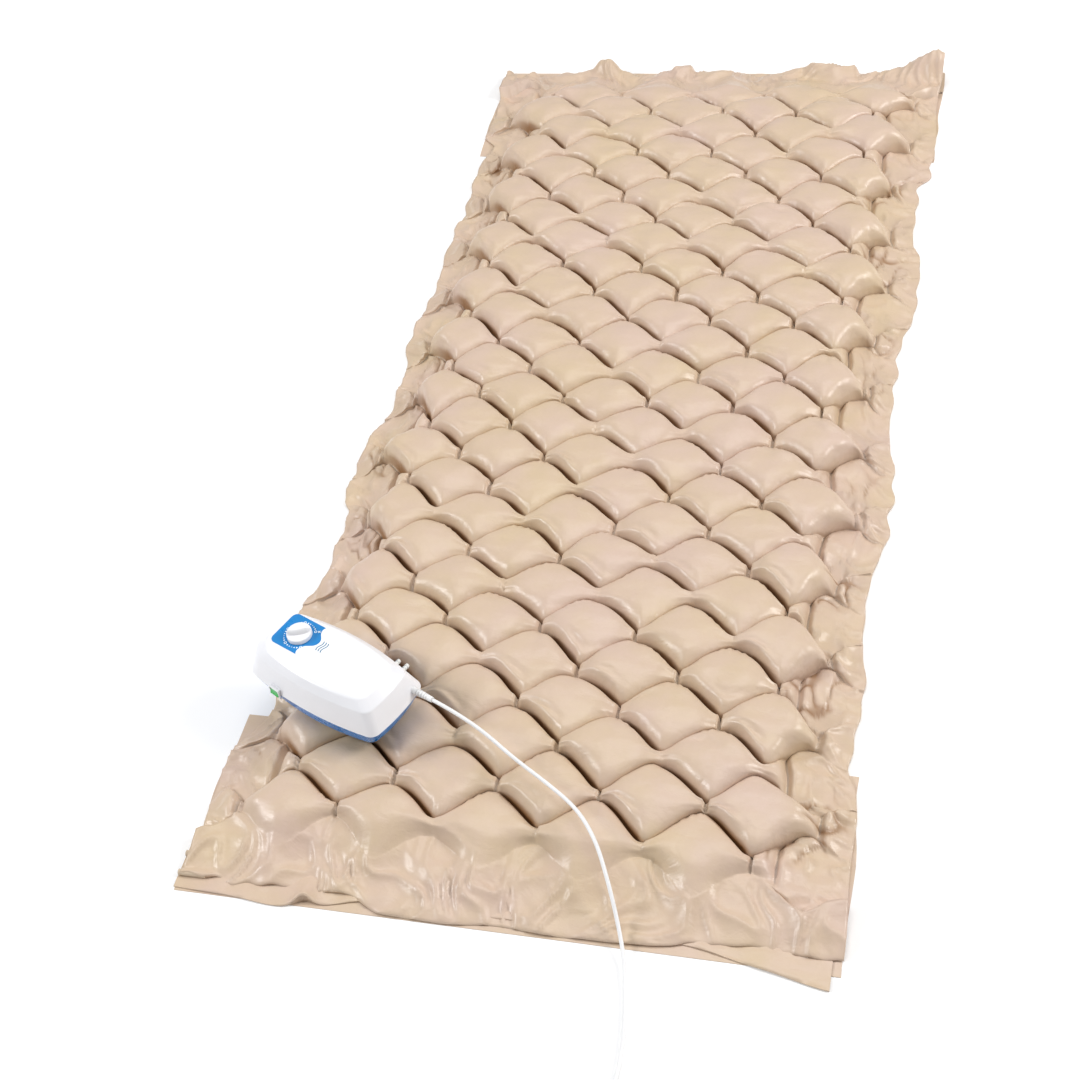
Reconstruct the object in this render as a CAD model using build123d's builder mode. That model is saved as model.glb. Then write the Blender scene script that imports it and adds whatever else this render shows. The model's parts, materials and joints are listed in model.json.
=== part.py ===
from build123d import *
import math
import os

# ----------------------------------------------------------------------------
# Bubble overlay mattress with its alternating-pressure air pump lying on it.
# Row frame: origin at the middle of the mattress on the floor, +Y to the head
# end, +X to the right, +Z up. Millimetres.
# ----------------------------------------------------------------------------

# mattress sheets
mat_w, mat_l = 900.0, 2000.0      # flat size of the pad
film_t = 0.4                      # one PVC film
flap_l = 300.0                    # tuck-in flap, folded under each end
bottom_z = film_t                 # the bottom film lies on the folded flaps
top_z = bottom_z + film_t         # underside of the upper film
cell_z0 = top_z + film_t          # where the cells start
cell_z1 = 65.0                    # crown of an inflated cell

# cell lattice: diamonds in rows, every second row shifted by one half cell
half_x = 72.0                     # half the pitch of the cells in a row
pitch_y = 69.5                    # pitch of the rows
first_row, last_row = -9, 16      # row numbers, head to foot
row_mid = 3.5                     # row number at y = 0
cell_a, cell_b, cell_c = 60.0, 58.0, 8.0   # half length, half width, half of the cut tip
cell_wall = 0.3
link_h, link_half = 12.5, 6.0     # air passage between two cells of a row
feed_x0, feed_x1 = 400.0, 410.0   # feed channel beside the cells
feed_h = 4.0

# air inlets at the left edge, by the foot end
tube_r, tube_bore = 4.5, 3.0
inlet_z = cell_z0 + tube_r + 0.2
inlet_a_y, inlet_b_y = -945.0, -975.0

# pump case, in its own frame: +X to the cord end, -Y the switch side
case_h, part_h, crease_h = 78.0, 32.0, 66.0
case_t = 2.5
label_x0, label_x1 = -92.0, -4.0
label_y0, label_y1 = -20.0, 38.0
knob_x, knob_y, knob_r = -58.0, 9.0, 18.5
foot_h = 3.0
relief_y, relief_z, relief_len = 36.0, 41.0, 30.0

# where the pump lies
pump_at = Location((-292.0, -690.0, cell_z1 + 0.3 + foot_h), (0, 0, -24.0))

cord_d = 5.5

os.makedirs("parts", exist_ok=True)
made = []


def keep(builder, name, place=None):
    """Label a finished piece, put it in its place and write it."""
    shape = builder.part
    if place is not None:
        shape = shape.moved(place)
    shape.label = name
    export_step(shape, "parts/" + name + ".step")
    made.append((name, shape))
    return shape


# ============================== mattress ====================================

with BuildPart() as bottom_film:
    with BuildSketch(Plane.XY.offset(bottom_z)):
        Rectangle(mat_w, mat_l)
    extrude(amount=film_t)
    # between the folded flaps the film lies on the bed itself
    with BuildSketch(Plane.XY):
        Rectangle(mat_w, mat_l - 2 * flap_l - 1.0)
    extrude(amount=bottom_z)
keep(bottom_film, "bottom_film")

with BuildPart() as top_film:
    with BuildSketch(Plane.XY.offset(top_z)):
        Rectangle(mat_w, mat_l)
    extrude(amount=film_t)
keep(top_film, "top_film")

with BuildPart() as foot_flap:
    with BuildSketch(Plane.XY):
        with Locations((0, -mat_l / 2 + flap_l / 2)):
            Rectangle(mat_w, flap_l)
    extrude(amount=film_t)
keep(foot_flap, "foot_flap")

with BuildPart() as head_flap:
    with BuildSketch(Plane.XY):
        with Locations((0, mat_l / 2 - flap_l / 2)):
            Rectangle(mat_w, flap_l)
    extrude(amount=film_t)
keep(head_flap, "head_flap")


def diamond(cx, scale, less=0.0):
    """Corner points of one cell's outline, cut off at its two side tips."""
    a, b, c = cell_a - less, cell_b - less * 1.4, cell_c - less * 0.6
    ring = [(a, c), (0, b), (-a, c), (-a, -c), (0, -b), (a, -c)]
    return [(cx + x * scale, y * scale) for x, y in ring]


cell_mids = [-4 * half_x, -2 * half_x, 0.0, 2 * half_x, 4 * half_x]
crown_k = 0.55


def row_of_cells(side):
    """One closed, hollow row of five cells; side is +1 or -1, its fed end."""
    with BuildPart() as outer:
        for cx in cell_mids:
            with BuildSketch(Plane.XY.offset(cell_z0)):
                Polygon(*diamond(cx, 1.0), align=None)
            with BuildSketch(Plane.XY.offset(cell_z1)):
                Polygon(*diamond(cx, crown_k), align=None)
            loft(ruled=True)
        with BuildSketch(Plane.XY.offset(cell_z0)):
            for cx in cell_mids[:-1]:
                with Locations((cx + half_x, 0)):
                    Rectangle(2 * half_x - 2 * (cell_a - 4), 2 * link_half)
            reach = feed_x0 - 4 * half_x - half_x / 2 - (cell_a - 4)
            with Locations((side * (4 * half_x + cell_a - 4 + reach / 2), 0)):
                Rectangle(reach, 2 * link_half)
        extrude(amount=link_h)
    with BuildPart() as inner:
        for cx in cell_mids:
            with BuildSketch(Plane.XY.offset(cell_z0 + cell_wall)):
                Polygon(*diamond(cx, 1.0, cell_wall), align=None)
            with BuildSketch(Plane.XY.offset(cell_z1 - cell_wall)):
                Polygon(*diamond(cx, crown_k, cell_wall), align=None)
            loft(ruled=True)
        with BuildSketch(Plane.XY.offset(cell_z0 + cell_wall)):
            for cx in cell_mids[:-1]:
                with Locations((cx + half_x, 0)):
                    Rectangle(2 * half_x - 2 * (cell_a - 6), 2 * (link_half - cell_wall))
            reach_in = reach + 2 - cell_wall
            with Locations((side * (4 * half_x + cell_a - 6 + reach_in / 2), 0)):
                Rectangle(reach_in, 2 * (link_half - cell_wall))
        extrude(amount=link_h - 2 * cell_wall)
    with BuildPart() as row:
        add(outer.part)
        add(inner.part, mode=Mode.SUBTRACT)
    return row.part


row_a = row_of_cells(-1)
row_b = row_of_cells(1)
y_of = {j: -(j - row_mid) * pitch_y for j in range(first_row, last_row + 1)}

with BuildPart() as air_cells_circuit_a:
    with Locations(*[(-half_x / 2, y, 0) for j, y in y_of.items() if j % 2 == 0]):
        add(row_a)
keep(air_cells_circuit_a, "air_cells_circuit_a")

with BuildPart() as air_cells_circuit_b:
    with Locations(*[(half_x / 2, y, 0) for j, y in y_of.items() if j % 2]):
        add(row_b)
keep(air_cells_circuit_b, "air_cells_circuit_b")

feed_mid = (feed_x0 + feed_x1) / 2
head_end = y_of[first_row] + 12
with BuildPart() as feed_channel_a:
    with BuildSketch(Plane.XY.offset(cell_z0)):
        with Locations((-feed_mid, (head_end + inlet_a_y - 5) / 2)):
            Rectangle(feed_x1 - feed_x0, head_end - inlet_a_y + 5)
    extrude(amount=feed_h)
    with BuildSketch(Plane.XY.offset(cell_z0 + 0.4)):
        with Locations((-feed_mid, (head_end + inlet_a_y - 5) / 2)):
            Rectangle(feed_x1 - feed_x0 - 0.8, head_end - inlet_a_y + 4.2)
    extrude(amount=feed_h - 0.8, mode=Mode.SUBTRACT)
keep(feed_channel_a, "feed_channel_a")

with BuildPart() as feed_channel_b:
    with BuildSketch(Plane.XY.offset(cell_z0)):
        with Locations((feed_mid, (head_end + inlet_b_y - 5) / 2)):
            Rectangle(feed_x1 - feed_x0, head_end - inlet_b_y + 5)
        with Locations((0, inlet_b_y)):
            Rectangle(2 * feed_x1, 10)
    extrude(amount=feed_h)
    with BuildSketch(Plane.XY.offset(cell_z0 + 0.4)):
        with Locations((feed_mid, (head_end + inlet_b_y - 5) / 2)):
            Rectangle(feed_x1 - feed_x0 - 0.8, head_end - inlet_b_y + 4.2)
        with Locations((0, inlet_b_y)):
            Rectangle(2 * feed_x1 - 0.8, 9.2)
    extrude(amount=feed_h - 0.8, mode=Mode.SUBTRACT)
keep(feed_channel_b, "feed_channel_b")


def inlet(y):
    """Soft tube stub from the feed channel's end to the left edge."""
    with BuildPart() as stub:
        with BuildSketch(Plane((-mat_w / 2, y, inlet_z), x_dir=(0, 1, 0), z_dir=(1, 0, 0))):
            Circle(tube_r)
            Circle(tube_bore, mode=Mode.SUBTRACT)
        extrude(amount=mat_w / 2 - feed_x1 - 0.0)
    return stub


air_inlet_a = inlet(inlet_a_y)
keep(air_inlet_a, "air_inlet_a")
air_inlet_b = inlet(inlet_b_y)
keep(air_inlet_b, "air_inlet_b")

# ============================== pump case ===================================

# half length, half width and height of each ring of the case
ring_low = (112.0, 58.0, 0.0)
ring_mid = (128.0, 66.0, part_h)
ring_crease = (115.0, 55.0, crease_h)
ring_top = (100.0, 45.0, case_h)


def ring(a, b, z, inset=0.0):
    """Plan outline of the case: bowed sides, big corners at the knob end."""
    a, b = a - inset, b - inset
    side_bow, cord_bow, knob_bow = 12.0, 5.0, 9.0
    p = [(-(a - knob_bow), -(b - side_bow)), (a - cord_bow, -(b - side_bow)),
         (a - cord_bow, b - side_bow), (-(a - knob_bow), b - side_bow)]
    with BuildSketch(Plane.XY.offset(z)) as sk:
        with BuildLine():
            ThreePointArc(p[0], (0, -b), p[1])
            ThreePointArc(p[1], (a, 0), p[2])
            ThreePointArc(p[2], (0, b), p[3])
            ThreePointArc(p[3], (-a, 0), p[0])
        make_face()
        ends = sk.vertices().sort_by(Axis.X)
        fillet(ends[:2], 30.0 - inset)
        fillet(sk.vertices().sort_by(Axis.X)[-2:], 16.0 - inset)
    return sk.sketch


def between(r0, r1, z):
    """Ring at height z on the straight wall from r0 to r1."""
    k = (z - r0[2]) / (r1[2] - r0[2])
    return (r0[0] + k * (r1[0] - r0[0]), r0[1] + k * (r1[1] - r0[1]), z)


switch_x = -54.0
switch_y = -66.0 + 12.0 * (switch_x / 119.0) ** 2
switch_slope = math.degrees(math.atan(24.0 * switch_x / 119.0 ** 2))
switch_out = (math.sin(math.radians(switch_slope)), -math.cos(math.radians(switch_slope)), 0)
switch_along = (math.cos(math.radians(switch_slope)), math.sin(math.radians(switch_slope)), 0)


def switch_plane(out):
    """Plane of the switch bezel, its normal out of the case."""
    o = (switch_x + switch_out[0] * out, switch_y + switch_out[1] * out, 33.0)
    return Plane(o, x_dir=switch_along, z_dir=switch_out)


knob_end_posts = [(-84.0, -26.0), (-84.0, 26.0)]
cord_end_posts = [(92.0, -28.0), (92.0, 28.0)]
posts = knob_end_posts + cord_end_posts
feet_at = [(-60.0, -40.0), (-60.0, 40.0), (64.0, -40.0), (64.0, 40.0)]
nozzle_at = [(58.0, 22.0), (74.0, 22.0)]      # x and z of the outlets in the back wall
hook_y, hook_z = 20.0, 17.0
filter_at = (-20.0, 0.0)                       # intake opening in the base floor

with BuildPart() as base_shell:
    loft(sections=[ring(*ring_low), ring(*ring_mid)], ruled=True)
    fillet(base_shell.edges().group_by(Axis.Z)[0], 2.5)
    in_low = between(ring_low, ring_mid, case_t)
    loft(sections=[ring(*in_low, inset=case_t), ring(*ring_mid, inset=case_t)],
         ruled=True, mode=Mode.SUBTRACT)
    # posts for the case screws
    with BuildSketch(Plane.XY.offset(case_t - 0.5)):
        with Locations(*posts):
            Circle(4.6)
    extrude(amount=part_h - case_t + 0.5 - 0.2)
    # sockets for the bed-rail hooks
    with BuildSketch(Plane((-98.0, 0, 0), x_dir=(0, 1, 0), z_dir=(1, 0, 0))):
        with Locations((hook_y, hook_z), (-hook_y, hook_z)):
            Circle(5.5)
    extrude(amount=-24.0)
    with BuildSketch(Plane((-122.0, 0, 0), x_dir=(0, 1, 0), z_dir=(1, 0, 0))):
        with Locations((hook_y, hook_z), (-hook_y, hook_z)):
            Circle(2.1)
    extrude(amount=18.0, mode=Mode.SUBTRACT)
    # screw holes with a counterbore
    with BuildSketch(Plane.XY.offset(-0.1)):
        with Locations(*posts):
            Circle(3.6)
    extrude(amount=3.1, mode=Mode.SUBTRACT)
    with BuildSketch(Plane.XY):
        with Locations(*posts):
            Circle(1.7)
    extrude(amount=part_h, mode=Mode.SUBTRACT)
    # intake opening in the floor
    with BuildSketch(Plane.XY.offset(-0.1)):
        with Locations(filter_at):
            RectangleRounded(34, 24, 3)
    extrude(amount=case_t + 0.2, mode=Mode.SUBTRACT)
    # outlet holes in the back wall
    with BuildSketch(Plane((0, 40, 0), x_dir=(-1, 0, 0), z_dir=(0, 1, 0))):
        with Locations(*[(-x, z) for x, z in nozzle_at]):
            Circle(5.6)
    extrude(amount=40, mode=Mode.SUBTRACT)
    # switch opening
    with BuildSketch(switch_plane(6)):
        Rectangle(19.4, 14.8)
    extrude(amount=-16, mode=Mode.SUBTRACT)
keep(base_shell, "base_shell", pump_at)

with BuildPart() as top_cover:
    loft(sections=[ring(*ring_mid), ring(*ring_crease), ring(*ring_top)], ruled=True)
    tops = top_cover.edges().group_by(Axis.Z)
    for low, high, rad in ((case_h - 0.1, case_h + 0.1, 7.0), (crease_h - 0.1, crease_h + 0.1, 5.0)):
        for r in (rad, rad * 0.6, rad * 0.3):
            try:
                fillet(top_cover.edges().filter_by_position(Axis.Z, low, high), r)
                print("top cover edge at", round(high, 1), "radius", r)
                break
            except Exception as err:
                print("no fillet of", r, "at", high, err)
    loft(sections=[ring(*ring_mid, inset=case_t), ring(*between(ring_mid, ring_crease, 64.5), inset=case_t),
                   ring(ring_top[0], ring_top[1], case_h - case_t, inset=case_t)],
         ruled=True, mode=Mode.SUBTRACT)
    # bosses that the case screws hold
    with BuildSketch(Plane.XY.offset(part_h)):
        with Locations(*posts):
            Circle(4.2)
    extrude(amount=case_h - 1.5 - part_h)
    with BuildSketch(Plane.XY.offset(part_h - 0.1)):
        with Locations(*posts):
            Circle(1.5)
    extrude(amount=16.0, mode=Mode.SUBTRACT)
    # hole for the pressure valve's neck
    with BuildSketch(Plane.XY.offset(case_h - 10)):
        with Locations((knob_x, knob_y)):
            Circle(5.2)
    extrude(amount=20, mode=Mode.SUBTRACT)
    # switch opening
    with BuildSketch(switch_plane(6)):
        Rectangle(19.4, 14.8)
    extrude(amount=-16, mode=Mode.SUBTRACT)
    # hole for the cord's strain relief
    with BuildSketch(Plane((100, 0, 0), x_dir=(0, 1, 0), z_dir=(1, 0, 0))):
        with Locations((relief_y, relief_z)):
            Circle(4.6)
    extrude(amount=40, mode=Mode.SUBTRACT)
keep(top_cover, "top_cover", pump_at)

# label: blue field with a waved edge, white field, marks and icon
wave = [(-40.0, label_y0), (-43.0, -12.0), (-37.0, -2.0), (-26.0, 6.0), (-24.0, 16.0), (-32.0, 26.0), (-33.0, label_y1)]
label_t = 0.3
with BuildPart() as label_blue:
    with BuildSketch(Plane.XY.offset(case_h)) as lb:
        with BuildLine():
            Polyline((label_x0, label_y0), wave[0])
            Spline(*wave)
            Polyline(wave[-1], (label_x0, label_y1), (label_x0, label_y0))
        make_face()
        fillet(lb.vertices().sort_by(Axis.X)[:2], 9)
        with Locations((knob_x, knob_y)):
            Circle(6.2, mode=Mode.SUBTRACT)
    extrude(amount=label_t)
keep(label_blue, "label_blue", pump_at)

with BuildPart() as label_white:
    with BuildSketch(Plane.XY.offset(case_h)) as lw:
        with BuildLine():
            Spline(*wave)
            Polyline(wave[-1], (label_x1, label_y1), (label_x1, label_y0), wave[0])
        make_face()
        fillet(lw.vertices().sort_by(Axis.X)[-2:], 3)
    extrude(amount=label_t)
keep(label_white, "label_white", pump_at)

dial_r = 23.0
with BuildPart() as dial_marks:
    with BuildSketch(Plane.XY.offset(case_h + label_t)):
        for k in range(5):
            ang = math.radians(180 - 135 + 67.5 * k)
            c = (knob_x + dial_r * math.cos(ang), knob_y + dial_r * math.sin(ang))
            with Locations(c):
                Circle(2.2)
                Circle(1.3, mode=Mode.SUBTRACT)
        for k in range(4):
            for m in range(1, 6):
                ang = math.radians(180 - 135 + 67.5 * k + 8.5 + (67.5 - 17) * (m - 0.5) / 5.0)
                c = (knob_x + dial_r * math.cos(ang), knob_y + dial_r * math.sin(ang))
                with Locations(c):
                    Circle([1.15, 0.85, 0.6, 0.85, 1.15][m - 1])
        # minus and plus beside the two end rings
        for sgn in (-1, 1):
            ang = math.radians(180 + sgn * 135)
            c = (knob_x + 29.5 * math.cos(ang), knob_y + 26.6 * math.sin(ang))
            with Locations(c):
                Rectangle(1.0, 4.6)
                if sgn < 0:
                    Rectangle(4.6, 1.0)
    extrude(amount=0.15)
keep(dial_marks, "dial_marks", pump_at)

# three soft waves, a plain sign for moving air
with BuildPart() as air_icon:
    with BuildSketch(Plane.XY.offset(case_h + label_t)):
        for k in range(3):
            x0 = -10.5 - 4.2 * k
            with BuildLine() as wl:
                Spline((x0, 0.0), (x0 - 1.5, 4.5), (x0 + 1.5, 13.5), (x0, 18.0))
            trace(line_width=1.3)
    extrude(amount=0.15)
keep(air_icon, "air_icon", pump_at)

# ------------------------------ knob and valve ------------------------------

knob_z0 = case_h + label_t + 0.6
knob_h = 15.0
with BuildPart() as pressure_knob:
    with BuildSketch(Plane.XY.offset(knob_z0)):
        with Locations((knob_x, knob_y)):
            Circle(knob_r)
    extrude(amount=7.0, taper=3)
    fillet(pressure_knob.edges().group_by(Axis.Z)[-1], 1.8)
    # grip bar across the knob, its nose beside the plus mark
    for up, gx, gy in ((5.0, 17.2, 6.4), (9.5, 16.6, 5.6), (12.6, 15.4, 4.6), (14.3, 13.6, 3.4), (knob_h, 11.0, 2.0)):
        with BuildSketch(Plane.XY.offset(knob_z0 + up)):
            with Locations(Location((knob_x, knob_y), (0, 0, 43.0))):
                Ellipse(gx, gy)
    loft()
    with BuildSketch(Plane.XY.offset(knob_z0)):
        with Locations((knob_x, knob_y)):
            Circle(15.5)
            Circle(5.4, mode=Mode.SUBTRACT)
    extrude(amount=4.2, mode=Mode.SUBTRACT)
    with BuildSketch(Plane.XY.offset(knob_z0)):
        with Locations((knob_x, knob_y)):
            Circle(3.0)
    extrude(amount=10.0, mode=Mode.SUBTRACT)
    with BuildSketch(Plane.XY.offset(knob_z0)):
        with Locations((knob_x, knob_y)):
            Circle(5.6)
            Circle(3.0, mode=Mode.SUBTRACT)
    extrude(amount=2.4, mode=Mode.SUBTRACT)
keep(pressure_knob, "pressure_knob", pump_at)

with BuildPart() as knob_spindle:
    with BuildSketch(Plane.XY.offset(56)):
        with Locations((knob_x, knob_y)):
            Circle(3.0)
    extrude(amount=knob_z0 + 10.0 - 56)
    with BuildSketch(Plane.XY.offset(53)):
        with Locations((knob_x, knob_y)):
            Circle(5.0)
    extrude(amount=3)
keep(knob_spindle, "knob_spindle", pump_at)

with BuildPart() as pressure_valve_body:
    with BuildSketch(Plane.XY.offset(44)):
        with Locations((knob_x, knob_y)):
            Circle(11)
    extrude(amount=case_h - case_t - 44)
    with BuildSketch(Plane.XY.offset(case_h - case_t)):
        with Locations((knob_x, knob_y)):
            Circle(5.0)
    extrude(amount=case_t + 1.4)
    with BuildSketch(Plane.XY.offset(50)):
        with Locations((knob_x, knob_y)):
            Circle(6.0)
    extrude(amount=9, mode=Mode.SUBTRACT)
    with BuildSketch(Plane.XY.offset(50)):
        with Locations((knob_x, knob_y)):
            Circle(3.3)
    extrude(amount=40, mode=Mode.SUBTRACT)
    # two hose stems
    with BuildSketch(Plane((knob_x, knob_y, 48), x_dir=(0, 1, 0), z_dir=(1, 0, 0))):
        with Locations((-5, 0), (5, 0)):
            Circle(1.9)
    extrude(amount=15)
keep(pressure_valve_body, "pressure_valve_body", pump_at)

with BuildPart() as valve_nut:
    with BuildSketch(Plane.XY.offset(case_h)):
        with Locations((knob_x, knob_y)):
            RegularPolygon(6.0, 6)
            Circle(5.0, mode=Mode.SUBTRACT)
    extrude(amount=1.4)
keep(valve_nut, "valve_nut", pump_at)

# ------------------------------ rocker switch -------------------------------

with BuildPart() as switch_housing:
    with BuildSketch(switch_plane(0.5)):
        RectangleRounded(22.5, 18.5, 1.5)
    extrude(amount=2.2)
    chamfer(switch_housing.faces().sort_by(Axis(( 0, 0, 0), switch_out))[-1].edges(), 0.7)
    with BuildSketch(switch_plane(0.5)):
        Rectangle(19.0, 14.4)
    extrude(amount=-15.5)
    with BuildSketch(switch_plane(3.0)):
        Rectangle(17.0, 12.8)
    extrude(amount=-13.0, mode=Mode.SUBTRACT)
    with BuildSketch(Plane(switch_plane(-1.2).origin, x_dir=switch_out, z_dir=switch_along)):
        Circle(1.0)
    extrude(amount=10, both=True, mode=Mode.SUBTRACT)
keep(switch_housing, "switch_housing", pump_at)

with BuildPart() as rocker_button:
    sp = Plane(switch_plane(-1.2).origin, x_dir=switch_out, z_dir=switch_along)
    # side view of the rocker: out of the wall along x, along the wall's height in y
    with BuildSketch(sp) as rk:
        with BuildLine():
            Polyline((-3.2, -1.8), (2.0, -4.9), (3.4, -5.2))
            ThreePointArc((3.4, -5.2), (3.5, -0.3), (5.8, 4.4))
            Polyline((5.8, 4.4), (2.0, 4.9), (-3.2, 1.8), (-3.2, -1.8))
        make_face()
        Circle(1.05, mode=Mode.SUBTRACT)
    extrude(amount=8.1, both=True)
keep(rocker_button, "rocker_button", pump_at)

with BuildPart() as rocker_pin:
    with BuildSketch(Plane(switch_plane(-1.2).origin, x_dir=switch_out, z_dir=switch_along)):
        Circle(1.0)
    extrude(amount=9.4, both=True)
keep(rocker_pin, "rocker_pin", pump_at)

with BuildPart() as switch_terminals:
    with BuildSketch(switch_plane(-15.0)):
        with Locations((-5.0, 0), (5.0, 0)):
            Rectangle(0.8, 4.8)
    extrude(amount=-8.0)
keep(switch_terminals, "switch_terminals", pump_at)

# ------------------------------ air engine ----------------------------------

core_x, eng_z = 45.0, 29.0
arm_y0, arm_t = 26.8, 3.0
pivot_x, pivot_y = -28.0, 28.3
cham_x = 5.0
cham_y0 = 38.0

with BuildPart() as pump_chassis:
    with BuildSketch(Plane.XY.offset(9.0)):
        with Locations((9, 0)):
            RectangleRounded(98, 96, 6)
        with Locations((-34, -42), (50, -42), (-34, 42), (50, 42)):
            Circle(3.0, mode=Mode.SUBTRACT)
    extrude(amount=2.0)
    # saddle under the core, ribs beside the chambers
    with BuildSketch(Plane.XY.offset(11.0)):
        with Locations((core_x, 16), (core_x, -16)):
            Rectangle(14, 3)
    extrude(amount=eng_z - 8.0 - 11.0)
keep(pump_chassis, "pump_chassis", pump_at)

with BuildPart() as rubber_mounts:
    with BuildSketch(Plane.XY.offset(case_t)):
        with Locations((-34, -42), (50, -42), (-34, 42), (50, 42)):
            Circle(5.5)
    extrude(amount=9.0 - case_t)
    with BuildSketch(Plane.XY.offset(9.0)):
        with Locations((-34, -42), (50, -42), (-34, 42), (50, 42)):
            Circle(3.0)
    extrude(amount=2.0)
    with BuildSketch(Plane.XY.offset(11.0)):
        with Locations((-34, -42), (50, -42), (-34, 42), (50, 42)):
            Circle(4.6)
    extrude(amount=1.8)
keep(rubber_mounts, "rubber_mounts", pump_at)

with BuildPart() as electromagnet_core:
    with BuildSketch(Plane((core_x, 0, eng_z), x_dir=(1, 0, 0), z_dir=(0, 1, 0))):
        Rectangle(16, 16)
    extrude(amount=18, both=True)
keep(electromagnet_core, "electromagnet_core", pump_at)

with BuildPart() as coil_bobbin:
    with BuildSketch(Plane((core_x, 0, eng_z), x_dir=(1, 0, 0), z_dir=(0, 1, 0))):
        RectangleRounded(19, 19, 1.5)
    extrude(amount=13.8, both=True)
    for y in (-14.0, 12.4):
        with BuildSketch(Plane((core_x, y, eng_z), x_dir=(1, 0, 0), z_dir=(0, 1, 0))):
            RectangleRounded(34, 33, 3)
        extrude(amount=1.6)
    with BuildSketch(Plane((core_x, 0, eng_z), x_dir=(1, 0, 0), z_dir=(0, 1, 0))):
        Rectangle(16, 16)
    extrude(amount=15, both=True, mode=Mode.SUBTRACT)
keep(coil_bobbin, "coil_bobbin", pump_at)

with BuildPart() as coil_winding:
    with BuildSketch(Plane((core_x, 0, eng_z), x_dir=(1, 0, 0), z_dir=(0, 1, 0))):
        RectangleRounded(31, 30, 6)
        RectangleRounded(19, 19, 1.5, mode=Mode.SUBTRACT)
    extrude(amount=12.4, both=True)
keep(coil_winding, "coil_winding", pump_at)


def swing_arm(side):
    with BuildPart() as arm:
        with BuildSketch(Plane.XY.offset(eng_z - 7)):
            with Locations(((pivot_x + core_x + 8) / 2 + 2, side * (arm_y0 + arm_t / 2))):
                Rectangle(core_x + 8 - pivot_x - 4, arm_t)
            with Locations((pivot_x, side * pivot_y)):
                Circle(4.2)
        extrude(amount=14)
        with BuildSketch(Plane.XY.offset(eng_z - 8)):
            with Locations((pivot_x, side * pivot_y)):
                Circle(1.56)
        extrude(amount=16, mode=Mode.SUBTRACT)
        # push stem towards the diaphragm
        with BuildSketch(Plane((cham_x, side * (arm_y0 + arm_t), eng_z), x_dir=(1, 0, 0), z_dir=(0, side, 0))):
            Circle(2.0)
        extrude(amount=4.6)
    return arm


def arm_magnet(side):
    with BuildPart() as mag:
        with BuildSketch(Plane.XY.offset(eng_z - 7)):
            with Locations((core_x, side * (arm_y0 - 3))):
                Rectangle(15, 6)
        extrude(amount=14)
    return mag


def diaphragm(side):
    """Rubber cup on the chamber, its boss round the arm's stem."""
    with BuildPart() as dia:
        with BuildSketch(Plane((cham_x, side * cham_y0, eng_z), x_dir=(1, 0, 0), z_dir=(0, -side, 0))):
            Circle(14.0)
        extrude(amount=2.2)
        with BuildSketch(Plane((cham_x, side * (cham_y0 - 2.2), eng_z), x_dir=(1, 0, 0), z_dir=(0, -side, 0))):
            Circle(6.0)
        extrude(amount=3.4)
        with BuildSketch(Plane((cham_x, side * (cham_y0 - 1.4), eng_z), x_dir=(1, 0, 0), z_dir=(0, -side, 0))):
            Circle(3.4)
        extrude(amount=8, mode=Mode.SUBTRACT)
    return dia


def valve_chamber(side):
    with BuildPart() as ch:
        with BuildSketch(Plane.XY.offset(11.0)):
            with Locations((cham_x, side * (cham_y0 + 5.5))):
                RectangleRounded(36, 11, 1.5)
        extrude(amount=34)
        with BuildSketch(Plane((cham_x, side * (cham_y0 + 2.5), eng_z), x_dir=(1, 0, 0), z_dir=(0, side, 0))):
            Circle(11.5)
        extrude(amount=6, mode=Mode.SUBTRACT)
        # outlet stem on top
        with BuildSketch(Plane.XY.offset(45.0)):
            with Locations((cham_x + 10, side * (cham_y0 + 5.5))):
                Circle(1.9)
        extrude(amount=9)
    return ch


for side, word in ((-1, "front"), (1, "back")):
    keep(swing_arm(side), "swing_arm_" + word, pump_at)
    keep(arm_magnet(side), "arm_magnet_" + word, pump_at)
    keep(diaphragm(side), "diaphragm_" + word, pump_at)
    keep(valve_chamber(side), "valve_chamber_" + word, pump_at)

with BuildPart() as arm_pivot_pins:
    with BuildSketch(Plane.XY.offset(11.0)):
        with Locations((pivot_x, pivot_y), (pivot_x, -pivot_y)):
            Circle(1.5)
    extrude(amount=eng_z + 11 - 11.0)
    with BuildSketch(Plane.XY.offset(11.0)):
        with Locations((pivot_x, pivot_y), (pivot_x, -pivot_y)):
            Circle(4.0)
    extrude(amount=eng_z - 7 - 11.0 - 0.4)
keep(arm_pivot_pins, "arm_pivot_pins", pump_at)

# ------------------------------ air distributor -----------------------------

dist_x, dist_y = 80.0, -2.0
with BuildPart() as distributor_motor:
    with BuildSketch(Plane.XY.offset(case_t)):
        with Locations((dist_x, dist_y)):
            Circle(19.0)
    extrude(amount=15)
    with BuildSketch(Plane.XY.offset(case_t + 15)):
        with Locations((dist_x, dist_y)):
            Circle(5.0)
            Circle(2.6, mode=Mode.SUBTRACT)
    extrude(amount=2)
keep(distributor_motor, "distributor_motor", pump_at)

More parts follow.
